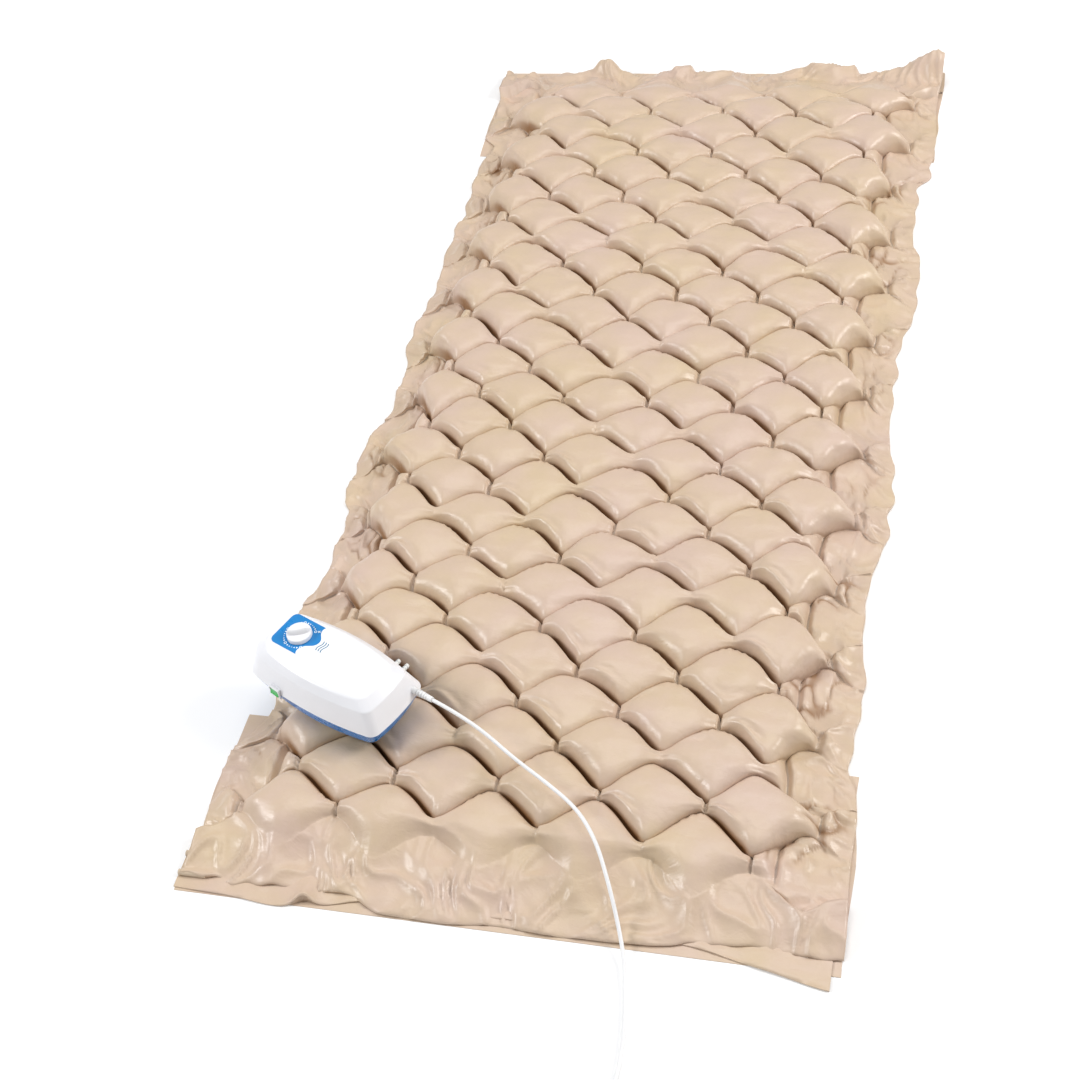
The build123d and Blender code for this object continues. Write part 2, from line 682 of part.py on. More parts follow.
dist_z = case_t + 17.0
with BuildPart() as distributor_body:
    with BuildSketch(Plane.XY.offset(dist_z)):
        with Locations((dist_x, dist_y)):
            Circle(16.0)
    extrude(amount=15)
    with BuildSketch(Plane.XY.offset(dist_z + 2)):
        with Locations((dist_x, dist_y)):
            Circle(13.0)
    extrude(amount=8, mode=Mode.SUBTRACT)
    with BuildSketch(Plane.XY.offset(dist_z - 1)):
        with Locations((dist_x, dist_y)):
            Circle(3.2)
    extrude(amount=4, mode=Mode.SUBTRACT)
    # one inlet stem and two outlet stems on the lid
    with BuildSketch(Plane.XY.offset(dist_z + 15)):
        with Locations((dist_x - 9, dist_y - 3), (dist_x + 1, dist_y + 9), (dist_x + 9, dist_y + 2)):
            Circle(1.9)
    extrude(amount=8)
keep(distributor_body, "distributor_body", pump_at)

with BuildPart() as distributor_rotor:
    with BuildSketch(Plane.XY.offset(dist_z + 2.4)):
        with Locations((dist_x, dist_y)):
            Circle(12.6)
            Circle(2.0, mode=Mode.SUBTRACT)
        with Locations((dist_x + 7.5, dist_y)):
            SlotOverall(8, 3, mode=Mode.SUBTRACT)
    extrude(amount=7.2)
keep(distributor_rotor, "distributor_rotor", pump_at)

with BuildPart() as motor_shaft:
    with BuildSketch(Plane.XY.offset(case_t + 15.3)):
        with Locations((dist_x, dist_y)):
            Circle(2.0)
    extrude(amount=dist_z + 9.0 - case_t - 15.3)
keep(motor_shaft, "motor_shaft", pump_at)

# outlet nozzles through the back wall
back_y = 62.0


def outlet(x, z):
    with BuildPart() as noz:
        with BuildSketch(Plane((x, 46, z), x_dir=(-1, 0, 0), z_dir=(0, 1, 0))):
            Circle(7.5)
        extrude(amount=4.5)
        with BuildSketch(Plane((x, 50.5, z), x_dir=(-1, 0, 0), z_dir=(0, 1, 0))):
            Circle(5.5)
        extrude(amount=14)
        with BuildSketch(Plane((x, 64.5, z), x_dir=(-1, 0, 0), z_dir=(0, 1, 0))):
            Circle(3.0)
        extrude(amount=11.5)
        for k in range(2):
            with BuildSketch(Plane((x, 68.0 + 4.0 * k, z), x_dir=(-1, 0, 0), z_dir=(0, 1, 0))):
                Circle(3.7)
            extrude(amount=3.0, taper=12)
        with BuildSketch(Plane((x, 38, z), x_dir=(-1, 0, 0), z_dir=(0, 1, 0))):
            Circle(1.9)
        extrude(amount=8)
        with BuildSketch(Plane((x, 37, z), x_dir=(-1, 0, 0), z_dir=(0, 1, 0))):
            Circle(1.2)
        extrude(amount=60, mode=Mode.SUBTRACT)
    return noz


keep(outlet(*nozzle_at[0]), "outlet_nozzle_a", pump_at)
keep(outlet(*nozzle_at[1]), "outlet_nozzle_b", pump_at)

# soft hoses inside the case, each pushed over two stems
hose_r, hose_bore = 3.1, 1.9
hose_paths = [
    # each chamber: one to the distributor, one to the pressure valve
    [(15, -43.5, 46.5), (15, -43.5, 60), (44, -38, 63), (70, -22, 60), (71, -5, 53), (71, -5, 37.5)],
    [(15, 43.5, 46.5), (15, 43.5, 60), (-6, 36, 63), (-28, 18, 57), (-38, 14, 48), (-46, 14, 48)],
    # the distributor to the outlets
    [(81, 7, 37.5), (81, 7, 50), (76, 16, 56), (66, 22, 43), (59, 25, 30), (58, 33, 22), (58, 43, 22)],
    [(89, 0, 37.5), (89, 0, 50), (88, 14, 54), (82, 23, 41), (75, 26, 29), (74, 34, 22), (74, 43, 22)],
]


def smooth_run(pts, least):
    """Straight runs joined by tangent arcs as large as the runs allow."""
    vs = [Vector(*p) for p in pts]
    radii = []
    for k in range(1, len(vs) - 1):
        a, b = vs[k] - vs[k - 1], vs[k + 1] - vs[k]
        turn = math.radians(a.get_angle(b))
        radii.append(0.45 * min(a.length, b.length) / math.tan(turn / 2))
    return FilletPolyline(*vs, radius=radii), radii, min(radii) >= least


def tube_along(pts, r_out, r_in=0.0, least=0.0, name=""):
    with BuildPart() as tube:
        with BuildLine():
            line, radii, fine = smooth_run(pts, least)
        with BuildSketch(Plane(line @ 0, z_dir=line % 0)):
            Circle(r_out)
            if r_in:
                Circle(r_in, mode=Mode.SUBTRACT)
        sweep()
    area = math.pi * (r_out ** 2 - r_in ** 2)
    print(name, "length %.1f" % line.length, "radii", [round(r) for r in radii],
          "ok" if fine else "TOO TIGHT", "volume ratio %.4f" % (tube.part.volume / area / line.length))
    return tube, line.length


hoses = [tube_along(pts, hose_r, hose_bore + 0.02, 6.0, "hose %d" % n)[0].part
         for n, pts in enumerate(hose_paths)]
with BuildPart() as internal_hoses:
    for one in hoses:
        add(one)
keep(internal_hoses, "internal_hoses", pump_at)

# ------------------------------ mains side ----------------------------------

with BuildPart() as strain_relief:
    collar_x, cone_x = 117.0, 126.5
    with BuildSketch(Plane((collar_x, relief_y, relief_z), x_dir=(0, 1, 0), z_dir=(1, 0, 0))):
        Circle(5.8)
    extrude(amount=-2.6)
    with BuildSketch(Plane((collar_x, relief_y, relief_z), x_dir=(0, 1, 0), z_dir=(1, 0, 0))):
        Circle(4.5)
    extrude(amount=cone_x - collar_x)
    tip_x = cone_x + relief_len
    with BuildSketch(Plane((cone_x, relief_y, relief_z), x_dir=(0, 1, 0), z_dir=(1, 0, 0))):
        Circle(5.4)
    with BuildSketch(Plane((tip_x, relief_y, relief_z), x_dir=(0, 1, 0), z_dir=(1, 0, 0))):
        Circle(3.9)
    loft()
    # grooves that let it bend
    for k in range(5):
        gx = cone_x + 3.2 + 4.4 * k
        with BuildSketch(Plane((gx, relief_y, relief_z), x_dir=(0, 1, 0), z_dir=(1, 0, 0))):
            Circle(7)
            Circle(3.5, mode=Mode.SUBTRACT)
        extrude(amount=1.7, mode=Mode.SUBTRACT)
keep(strain_relief, "strain_relief", pump_at)

with BuildPart() as cord_clamp:
    with BuildSketch(Plane((98, relief_y, relief_z - 1.0), x_dir=(0, 1, 0), z_dir=(1, 0, 0))):
        RectangleRounded(12, 9, 1.5)
    extrude(amount=7)
keep(cord_clamp, "cord_clamp", pump_at)

with BuildPart() as terminal_block:
    with BuildSketch(Plane.XY.offset(44)):
        with Locations((74, 36)):
            Rectangle(22, 12)
    extrude(amount=11)
    chamfer(terminal_block.edges().filter_by(Axis.Z), 1)
    with BuildSketch(Plane.XY.offset(51)):
        with Locations((68, 36), (80, 36)):
            Circle(2)
    extrude(amount=6, mode=Mode.SUBTRACT)
keep(terminal_block, "terminal_block", pump_at)

with BuildPart() as fuse:
    with BuildSketch(Plane((44, 24, 56), x_dir=(0, 1, 0), z_dir=(1, 0, 0))):
        Circle(2.6)
    extrude(amount=20)
keep(fuse, "fuse", pump_at)

wire_paths = [
    [(98, 37.5, 40.5), (93.5, 37.5, 40.5), (89.5, 37.2, 47.6), (85, 37.2, 47.6)],
    [(98, 34.6, 40.5), (93.5, 34.6, 40.5), (89.5, 34.2, 46.6), (85, 34.2, 46.6)],
    [(63, 36, 48), (57, 36, 48), (50, 22, 50), (47.5, 9, 47.5), (47.5, 4, 45.5)],
    [(63, 34, 52), (56, 34, 52), (30, 24, 58), (-10, 2, 56), (-38, -14, 44), (-48.8, -34, 35.5), (-50.6, -40.9, 33.9)],
]
wires = [tube_along(pts, 0.9, 0.0, 1.5, "wire %d" % n)[0].part
         for n, pts in enumerate(wire_paths)]
with BuildPart() as internal_wires:
    for one in wires:
        add(one)
keep(internal_wires, "internal_wires", pump_at)

# ------------------------------ base details --------------------------------

with BuildPart() as case_screws:
    with BuildSketch(Plane.XY.offset(0.4)):
        with Locations(*posts):
            Circle(3.1)
    extrude(amount=2.6)
    with BuildSketch(Plane.XY.offset(0.2)):
        with Locations(*posts):
            Rectangle(4.0, 0.9)
            Rectangle(0.9, 4.0)
    extrude(amount=1.4, mode=Mode.SUBTRACT)
    with BuildSketch(Plane.XY.offset(3.0)):
        with Locations(*posts):
            Circle(1.45)
    extrude(amount=41)
keep(case_screws, "case_screws", pump_at)

with BuildPart() as rubber_feet:
    with BuildSketch(Plane.XY.offset(-foot_h)):
        with Locations(*feet_at):
            Circle(8)
    extrude(amount=foot_h)
    fillet(rubber_feet.edges().group_by(Axis.Z)[0], 0.8)
keep(rubber_feet, "rubber_feet", pump_at)

with BuildPart() as intake_filter:
    with BuildSketch(Plane.XY.offset(case_t)):
        with Locations(filter_at):
            RectangleRounded(38, 28, 3)
    extrude(amount=4)
keep(intake_filter, "intake_filter", pump_at)

with BuildPart() as filter_cover:
    with BuildSketch(Plane.XY.offset(0.2)):
        with Locations(filter_at):
            RectangleRounded(33.6, 23.6, 2.8)
        with Locations((filter_at[0], filter_at[1])):
            with GridLocations(4.6, 20, 6, 1):
                SlotOverall(16, 2.2, rotation=90, mode=Mode.SUBTRACT)
    extrude(amount=2.3)
keep(filter_cover, "filter_cover", pump_at)

# ============================== power cord ==================================

# the strain relief's tip and the way it points, in the row frame
tip = pump_at * Pos(tip_x, relief_y, relief_z)
tip_v = Vector(*tip.position)
out_v = Vector(math.cos(math.radians(-24)), math.sin(math.radians(-24)), 0)
print("cord leaves at", [round(c, 1) for c in tip_v], "towards", [round(c, 3) for c in out_v])

floor_z = cord_d / 2 + 0.85
route = [
    tuple(tip_v),
    tuple(tip_v + out_v * 34),
    (-54.0, -757.0, 99.0),
    (-8.0, -784.0, 83.0),
    (44.0, -812.0, 73.5),
    (92.0, -845.0, 71.5),
    (126.0, -889.0, 71.0),
    (149.0, -935.0, 51.0),
    (166.0, -974.0, 22.0),
    (181.0, -1016.0, 6.0),
    (191.0, -1063.0, floor_z + 0.4),
    (199.0, -1112.0, floor_z),
    (202.0, -1159.0, floor_z),
    (202.0, -1200.0, floor_z),
]
cut = 4      # the cord is cut in two half way between points 3 and 4
half = tuple((Vector(*route[3]) + Vector(*route[4])) * 0.5)
upper_pts = route[:4] + [half]
lower_pts = [half] + route[4:]
for n in range(1, len(route)):
    print("run", n, round((Vector(*route[n]) - Vector(*route[n - 1])).length, 1))
power_cord_upper, len_upper = tube_along(upper_pts, cord_d / 2, 0.0, 5 * cord_d, "cord upper")
keep(power_cord_upper, "power_cord_upper")
power_cord_lower, len_lower = tube_along(lower_pts, cord_d / 2, 0.0, 5 * cord_d, "cord lower")
keep(power_cord_lower, "power_cord_lower")

# the put-away length: a neat round coil of two layers
coil_r = 30.0
coil_c = (202.0 + coil_r, -1236.0)
coil_half = 9.0
coil_top = floor_z + cord_d / 2 + 5.5
with BuildPart() as power_cord_coil:
    with BuildSketch(Plane.XY.offset(0.5)):
        with Locations(coil_c):
            Circle(coil_r + coil_half)
            Circle(coil_r - coil_half, mode=Mode.SUBTRACT)
    extrude(amount=coil_top + 0.35 - 0.5)
    with BuildSketch(Plane((202.0, -1200.0, floor_z), x_dir=(1, 0, 0), z_dir=(0, -1, 0))):
        Circle(cord_d / 2)
    extrude(amount=24)
    with BuildSketch(Plane((coil_c[0] + 40.0, coil_c[1] - coil_r, floor_z + 5.4), x_dir=(0, 1, 0), z_dir=(-1, 0, 0))):
        Circle(cord_d / 2)
    extrude(amount=24)
keep(power_cord_coil, "power_cord_coil")
print("cord length in the open %.0f" % (len_upper + len_lower))

plug_x0 = coil_c[0] + 40.0
plug_y, plug_z = coil_c[1] - coil_r, floor_z + 5.4
with BuildPart() as plug_body:
    with BuildSketch(Plane((plug_x0, plug_y, plug_z), x_dir=(0, 1, 0), z_dir=(1, 0, 0))):
        Circle(3.6)
    with BuildSketch(Plane((plug_x0 + 18, plug_y, plug_z), x_dir=(0, 1, 0), z_dir=(1, 0, 0))):
        Circle(5.0)
    loft()
    with BuildSketch(Plane((plug_x0 + 18, plug_y, plug_z), x_dir=(0, 1, 0), z_dir=(1, 0, 0))):
        RectangleRounded(16, 12, 5)
    with BuildSketch(Plane((plug_x0 + 34, plug_y, plug_z), x_dir=(0, 1, 0), z_dir=(1, 0, 0))):
        RectangleRounded(29, 16.5, 7)
    loft()
    with BuildSketch(Plane((plug_x0 + 34, plug_y, plug_z), x_dir=(0, 1, 0), z_dir=(1, 0, 0))):
        RectangleRounded(29, 16.5, 7)
    extrude(amount=8)
    fillet(plug_body.faces().sort_by(Axis.X)[-1].edges(), 1.2)
keep(plug_body, "plug_body")

with BuildPart() as plug_pins:
    with BuildSketch(Plane((plug_x0 + 42, plug_y, plug_z), x_dir=(0, 1, 0), z_dir=(1, 0, 0))):
        with Locations((-9.0, 0), (9.0, 0)):
            Circle(2.0)
    extrude(amount=19)
    fillet(plug_pins.faces().sort_by(Axis.X)[-1].edges(), 1.2)
keep(plug_pins, "plug_pins")

print(len(made), "pieces")
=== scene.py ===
import json
import math

import bpy
import numpy as np
from mathutils import Matrix, Vector


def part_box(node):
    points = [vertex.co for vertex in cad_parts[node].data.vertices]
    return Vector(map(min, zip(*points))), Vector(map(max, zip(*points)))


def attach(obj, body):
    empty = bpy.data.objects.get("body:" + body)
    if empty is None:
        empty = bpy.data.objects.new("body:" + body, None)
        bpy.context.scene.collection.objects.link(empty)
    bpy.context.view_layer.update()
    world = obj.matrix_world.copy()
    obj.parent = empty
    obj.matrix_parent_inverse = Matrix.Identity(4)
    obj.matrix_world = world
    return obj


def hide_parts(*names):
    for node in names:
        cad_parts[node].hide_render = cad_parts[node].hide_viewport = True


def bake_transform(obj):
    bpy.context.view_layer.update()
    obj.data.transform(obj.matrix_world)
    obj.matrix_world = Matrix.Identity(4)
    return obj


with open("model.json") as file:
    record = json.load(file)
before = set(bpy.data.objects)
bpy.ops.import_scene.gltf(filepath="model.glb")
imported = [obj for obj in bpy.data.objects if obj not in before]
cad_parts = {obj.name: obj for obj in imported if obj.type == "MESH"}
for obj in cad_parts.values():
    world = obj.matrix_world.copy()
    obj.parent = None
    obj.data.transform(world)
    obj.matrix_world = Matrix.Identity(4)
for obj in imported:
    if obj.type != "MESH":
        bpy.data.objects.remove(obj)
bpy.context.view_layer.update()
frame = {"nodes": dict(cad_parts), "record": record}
nodes = frame["nodes"]


# ------------------------------------------------------------------ camera
def make_camera():
    a, e, r = math.radians(21.10), math.radians(46.37), math.radians(11.5)
    back = Vector((math.sin(a) * math.cos(e), -math.cos(a) * math.cos(e), math.sin(e)))
    look = -back
    right = look.cross(Vector((0, 0, 1))).normalized()
    down = look.cross(right)
    right2 = math.cos(r) * right + math.sin(r) * down
    down2 = -math.sin(r) * right + math.cos(r) * down
    up2 = -down2
    cam = bpy.data.cameras.new("camera")
    cam.sensor_width = 36.0
    cam.lens = 56.44
    cam.clip_start, cam.clip_end = 0.05, 60.0
    o = bpy.data.objects.new("camera", cam)
    bpy.context.scene.collection.objects.link(o)
    m = Matrix((
        (right2.x, up2.x, back.x, 0.5723),
        (right2.y, up2.y, back.y, -2.0269),
        (right2.z, up2.z, back.z, 1.9239),
        (0, 0, 0, 1),
    ))
    o.matrix_world = m
    bpy.context.scene.camera = o
    return o


camera = make_camera()


# ------------------------------------------------------------- small helpers
def link(o):
    bpy.context.scene.collection.objects.link(o)
    return o


def mesh_object(name, points, faces, smooth=True):
    me = bpy.data.meshes.new(name)
    me.from_pydata([tuple(map(float, p)) for p in points], [], [tuple(map(int, f)) for f in faces])
    me.update()
    if smooth:
        me.polygons.foreach_set("use_smooth", [True] * len(me.polygons))
    return link(bpy.data.objects.new(name, me))


def fast_mesh(name, points, quads, smooth=True):
    """A mesh of quads from numpy arrays."""
    me = bpy.data.meshes.new(name)
    n = len(quads)
    me.vertices.add(len(points))
    me.vertices.foreach_set("co", np.asarray(points, dtype=np.float32).ravel())
    me.loops.add(4 * n)
    me.loops.foreach_set("vertex_index", np.asarray(quads, dtype=np.int32).ravel())
    me.polygons.add(n)
    me.polygons.foreach_set("loop_start", np.arange(0, 4 * n, 4, dtype=np.int32))
    me.polygons.foreach_set("use_smooth", np.full(n, bool(smooth)))
    me.update(calc_edges=True)
    me.validate()
    return link(bpy.data.objects.new(name, me))


def tube_mesh(name, line, radius, sides=14, mod=None):
    """A closed tube round the points of line."""
    line = [Vector(p) for p in line]
    n = len(line)
    tangents = []
    for i in range(n):
        a, b = line[max(i - 1, 0)], line[min(i + 1, n - 1)]
        tangents.append((b - a).normalized())
    side = tangents[0].cross(Vector((0, 0, 1)))
    if side.length < 1e-3:
        side = tangents[0].cross(Vector((1, 0, 0)))
    side.normalize()
    pts, faces = [], []
    for i in range(n):
        t = tangents[i]
        side = (side - t * side.dot(t)).normalized()
        other = t.cross(side)
        for k in range(sides):
            w = 2 * math.pi * k / sides
            rad = radius * (mod(i, w) if mod else 1.0)
            pts.append(line[i] + (side * math.cos(w) + other * math.sin(w)) * rad)
    for i in range(n - 1):
        for k in range(sides):
            a, b = i * sides + k, i * sides + (k + 1) % sides
            faces.append((a, b, b + sides, a + sides))
    faces.append(tuple(reversed(range(sides))))
    faces.append(tuple(range((n - 1) * sides, n * sides)))
    return mesh_object(name, pts, faces)


# ------------------------------------------------------------------ materials
class Mat:
    """A node material, built step by step."""

    def __init__(self, name):
        self.mat = bpy.data.materials.new(name)
        self.mat.use_nodes = True
        self.nt = self.mat.node_tree
        self.bsdf = next(n for n in self.nt.nodes if n.type == "BSDF_PRINCIPLED")
        self.coord = self.nt.nodes.new("ShaderNodeTexCoord")

    def set(self, **values):
        for k, v in values.items():
            self.bsdf.inputs[k.replace("_", " ")].default_value = v
        return self

    def node(self, kind, **values):
        n = self.nt.nodes.new(kind)
        for k, v in values.items():
            if hasattr(n, k):
                setattr(n, k, v)
            else:
                n.inputs[k.replace("_", " ")].default_value = v
        return n

    def join(self, a, b):
        self.nt.links.new(a, b)

    def noise(self, scale, detail=3.0, rough=0.5, stretch=None, distortion=0.0):
        n = self.node("ShaderNodeTexNoise", Scale=scale, Detail=detail, Roughness=rough, Distortion=distortion)
        if stretch:
            m = self.node("ShaderNodeMapping")
            m.inputs["Scale"].default_value = stretch
            self.join(self.coord.outputs["Object"], m.inputs["Vector"])
            self.join(m.outputs["Vector"], n.inputs["Vector"])
        else:
            self.join(self.coord.outputs["Object"], n.inputs["Vector"])
        return n.outputs["Fac"]

    def ramp(self, fac, stops):
        r = self.node("ShaderNodeValToRGB")
        el = r.color_ramp.elements
        while len(el) < len(stops):
            el.new(0.5)
        for e, (p, c) in zip(el, stops):
            e.position = p
            e.color = (*c, 1) if len(c) == 3 else c
        self.join(fac, r.inputs["Fac"])
        return r.outputs["Color"]

    def maths(self, op, a, b=None):
        n = self.node("ShaderNodeMath", operation=op)
        for i, v in enumerate((a, b)):
            if v is None:
                continue
            if isinstance(v, (int, float)):
                n.inputs[i].default_value = v
            else:
                self.join(v, n.inputs[i])
        return n.outputs[0]

    def span(self, fac, low, high, lo_in=0.3, hi_in=0.7):
        n = self.node("ShaderNodeMapRange")
        n.inputs["From Min"].default_value = lo_in
        n.inputs["From Max"].default_value = hi_in
        n.inputs["To Min"].default_value = low
        n.inputs["To Max"].default_value = high
        self.join(fac, n.inputs["Value"])
        return n.outputs["Result"]

    def mix(self, fac, a, b, kind="MIX"):
        n = self.node("ShaderNodeMix", data_type="RGBA", blend_type=kind)
        ins = [i for i in n.inputs if i.type == "RGBA"]
        out = [o for o in n.outputs if o.type == "RGBA"][0]
        f = n.inputs["Factor"] if "Factor" in n.inputs else n.inputs[0]
        if isinstance(fac, (int, float)):
            n.inputs[0].default_value = fac
        else:
            self.join(fac, n.inputs[0])
        for i, v in zip(ins, (a, b)):
            if isinstance(v, (tuple, list)):
                i.default_value = (*v, 1) if len(v) == 3 else v
            else:
                self.join(v, i)
        return out

    def colour(self, out):
        self.join(out, self.bsdf.inputs["Base Color"])
        return self

    def roughness(self, out):
        self.join(out, self.bsdf.inputs["Roughness"])
        return self

    def bump(self, height, distance, strength=1.0, last=None):
        b = self.node("ShaderNodeBump", Strength=strength, Distance=distance)
        self.join(height, b.inputs["Height"])
        if last is not None:
            self.join(last, b.inputs["Normal"])
        self.join(b.outputs["Normal"], self.bsdf.inputs["Normal"])
        return b.outputs["Normal"]


def plastic(name, colour, rough=0.35, vary=0.05, grain=2600.0, grain_d=0.00003, wave_d=0.00006, coat=0.0, spec=0.5):
    """Moulded plastic: a fine spark-eroded grain, slow flow marks and an uneven sheen."""
    m = Mat(name)
    dark = tuple(c * (1 - vary) for c in colour)
    lite = tuple(min(1.0, c * (1 + 0.6 * vary)) for c in colour)
    m.colour(m.ramp(m.noise(14.0, 4.0, 0.55), [(0.3, dark), (0.7, lite)]))
    m.roughness(m.span(m.noise(45.0, 4.0, 0.6), rough - 0.05, rough + 0.07))
    n1 = m.bump(m.noise(grain, 2.0, 0.5), grain_d, 0.7)
    m.bump(m.noise(28.0, 2.0, 0.4), wave_d, 0.6, n1)
    m.set(Specular_IOR_Level=spec)
    if coat:
        m.set(Coat_Weight=coat, Coat_Roughness=0.12)
    return m.mat


def metal(name, colour, rough=0.32, stretch=(1, 1, 14), vary=0.12, metallic=1.0):
    m = Mat(name)
    dark = tuple(c * (1 - vary) for c in colour)
    m.colour(m.ramp(m.noise(60.0, 4.0, 0.6), [(0.3, dark), (0.7, colour)]))
    m.roughness(m.span(m.noise(220.0, 3.0, 0.6, stretch), rough - 0.08, rough + 0.1))
    m.bump(m.noise(420.0, 2.0, 0.5, stretch), 0.00004, 0.6)
    m.set(Metallic=metallic)
    return m.mat


def vinyl(name, colour, pink, dark, painted_shade=True, rough=0.335):
    """Soft satin vinyl film: calender grain, small soft creases, a slow drift of tone, and painted shade darkening the
    crevices along the welds.
    """
    m = Mat(name)
    tone = m.ramp(m.noise(7.0, 4.0, 0.62), [(0.34, colour), (0.66, pink)])
    fine = m.noise(130.0, 5.0, 0.6)
    tone = m.mix(m.span(fine, 0.0, 0.18), tone, tuple(c * 0.86 for c in colour))
    if painted_shade:
        at = m.node("ShaderNodeAttribute", attribute_name="painted_shade")
        # painted shade: the film colour is mixed towards a dark brown where the crevices along the welds fall into
        # shadow
        tone = m.mix(at.outputs["Fac"], tone, dark)
    m.colour(tone)
    m.roughness(m.span(m.noise(60.0, 4.0, 0.6), rough - 0.05, rough + 0.08))
    n1 = m.bump(m.noise(900.0, 3.0, 0.55), 0.00006, 0.5)
    n2 = m.bump(m.noise(75.0, 4.0, 0.55, (1.0, 1.7, 1.0), 0.6), 0.0009, 0.55, n1)
    m.bump(m.noise(24.0, 3.0, 0.5, (1.0, 1.5, 1.0), 1.2), 0.0022, 0.45, n2)
    m.set(Specular_IOR_Level=0.5, Subsurface_Weight=0.0)
    return m.mat


VINYL = (0.612, 0.474, 0.322)
VINYL_PINK = (0.622, 0.470, 0.385)
VINYL_PAINTED_SHADE = (0.270, 0.132, 0.052)

mats = {
    "pvc_film": vinyl("vinyl_film", VINYL, VINYL_PINK, VINYL_PAINTED_SHADE, painted_shade=False),
    "soft_tube": plastic("soft_tube", (0.60, 0.48, 0.35), 0.3, coat=0.2),
    "case_white": plastic("case_white", (0.83, 0.83, 0.86), 0.36, 0.03, coat=0.15),
    "case_blue": plastic("case_blue", (0.012, 0.235, 0.72), 0.28, 0.06, coat=0.25),
    "label_blue": plastic("label_blue", (0.004, 0.21, 0.56), 0.3, 0.05, grain=3200.0, grain_d=0.00002, coat=0.3),
    "label_white": plastic("label_white", (0.92, 0.93, 0.95), 0.3, 0.02, grain=3200.0, grain_d=0.00002, coat=0.3),
    "ink_white": plastic("ink_white", (0.82, 0.92, 0.97), 0.42, 0.03),
    "ink_blue": plastic("ink_blue", (0.02, 0.15, 0.30), 0.42, 0.05),
    "knob_white": plastic("knob_white", (0.84, 0.84, 0.86), 0.3, 0.03, coat=0.25),
    "rocker_green": plastic("rocker_green", (0.02, 0.45, 0.07), 0.22, 0.08, coat=0.4),
    "nylon_white": plastic("nylon_white", (0.80, 0.80, 0.76), 0.45, 0.05),
    "nylon_black": plastic("nylon_black", (0.03, 0.03, 0.032), 0.45, 0.2),
    "steel": metal("steel", (0.62, 0.63, 0.65)),
    "lamination": metal("lamination", (0.30, 0.30, 0.32), 0.42, (1, 40, 1), 0.25),
    "copper": metal("copper", (0.72, 0.34, 0.16), 0.3, (1, 1, 30), 0.2),
    "magnet": metal("magnet", (0.12, 0.12, 0.13), 0.5, (1, 1, 1), 0.3, 0.4),
    "rubber_black": plastic("rubber_black", (0.022, 0.022, 0.024), 0.62, 0.25, 1500.0, 0.00006),
    "silicone": plastic("silicone", (0.80, 0.79, 0.75), 0.35, 0.04, coat=0.2),
    "cord_white": plastic("cord_white", (0.84, 0.84, 0.84), 0.42, 0.04, 1800.0, 0.00005),
    "pin_metal": metal("pin_metal", (0.78, 0.70, 0.50), 0.22),
    "fuse_glass": plastic("fuse_glass", (0.75, 0.82, 0.82), 0.12, 0.04, coat=0.5),
    "filter_foam": plastic("filter_foam", (0.16, 0.17, 0.18), 0.85, 0.4, 700.0, 0.0004),
}

node_slot = {s["node"]: s["material_slot"] for s in frame["record"]["subparts"] if "node" in s} if isinstance(frame["record"].get("subparts"), list) else {}
if not node_slot:
    subs = frame["record"].get("subparts")
    if isinstance(subs, dict):
        node_slot = {k: v.get("material_slot") for k, v in subs.items()}
    elif isinstance(subs, list):
        node_slot = {(s.get("name") or s.get("id")): s.get("material_slot") for s in subs}
for name, o in nodes.items():
    slot = node_slot.get(name)
    material = mats.get(slot, mats["nylon_white"])
    if not o.material_slots:
        continue
    for s in o.material_slots:
        s.material = material


# ------------------------------------------------------------------ the cord
CORD = 0.0055
FLOOR = 0.0036
coil_c = (0.232, -1.236)
tip = (-0.1344, -0.7208, 0.1093)
out = Vector((math.cos(math.radians(-24)), math.sin(math.radians(-24)), 0))
route = [
    tip,
    tuple(Vector(tip) + out * 0.034),
    (-0.054, -0.757, 0.099),
    (-0.008, -0.784, 0.083),
    (0.044, -0.812, 0.0735),
    (0.092, -0.845, 0.0715),
    (0.126, -0.889, 0.071),
    (0.149, -0.935, 0.051),
    (0.166, -0.974, 0.022),
    (0.181, -1.016, 0.006),
    (0.191, -1.063, 0.0040),
    (0.199, -1.112, 0.0036),
    (0.2015, -1.159, 0.0036),
    (0.1985, -1.200, 0.0036),
    (0.1966, -1.222, 0.0036),
]
# the put-away length: five turns in two layers, wound inwards below and outwards on top
turns, per = 5.25, 12
for n in range(1, int(turns * per) + 1):
    f = n / per
    if f <= 2:
        rad, rise = 35.6 - 5.6 * f, 0.0
    elif f <= 3:
        rad, rise = 24.4, 5.5 * math.sqrt(max(0.0, 1 - (3 - f) ** 2))
    elif f <= 5:
        rad, rise = 24.4 + 5.6 * (f - 3), 5.5
    else:
        rad, rise = 35.6, 5.5
    w = math.pi + 2 * math.pi * f
    route.append((coil_c[0] + rad * 0.001 * math.cos(w), coil_c[1] + rad * 0.001 * math.sin(w), FLOOR + rise * 0.001))
route += [
    (0.246, -1.2712, 0.0091),
    (0.257, -1.2684, 0.0090),
    (0.265, -1.2662, 0.0090),
    (0.273, -1.2660, 0.0090),
]


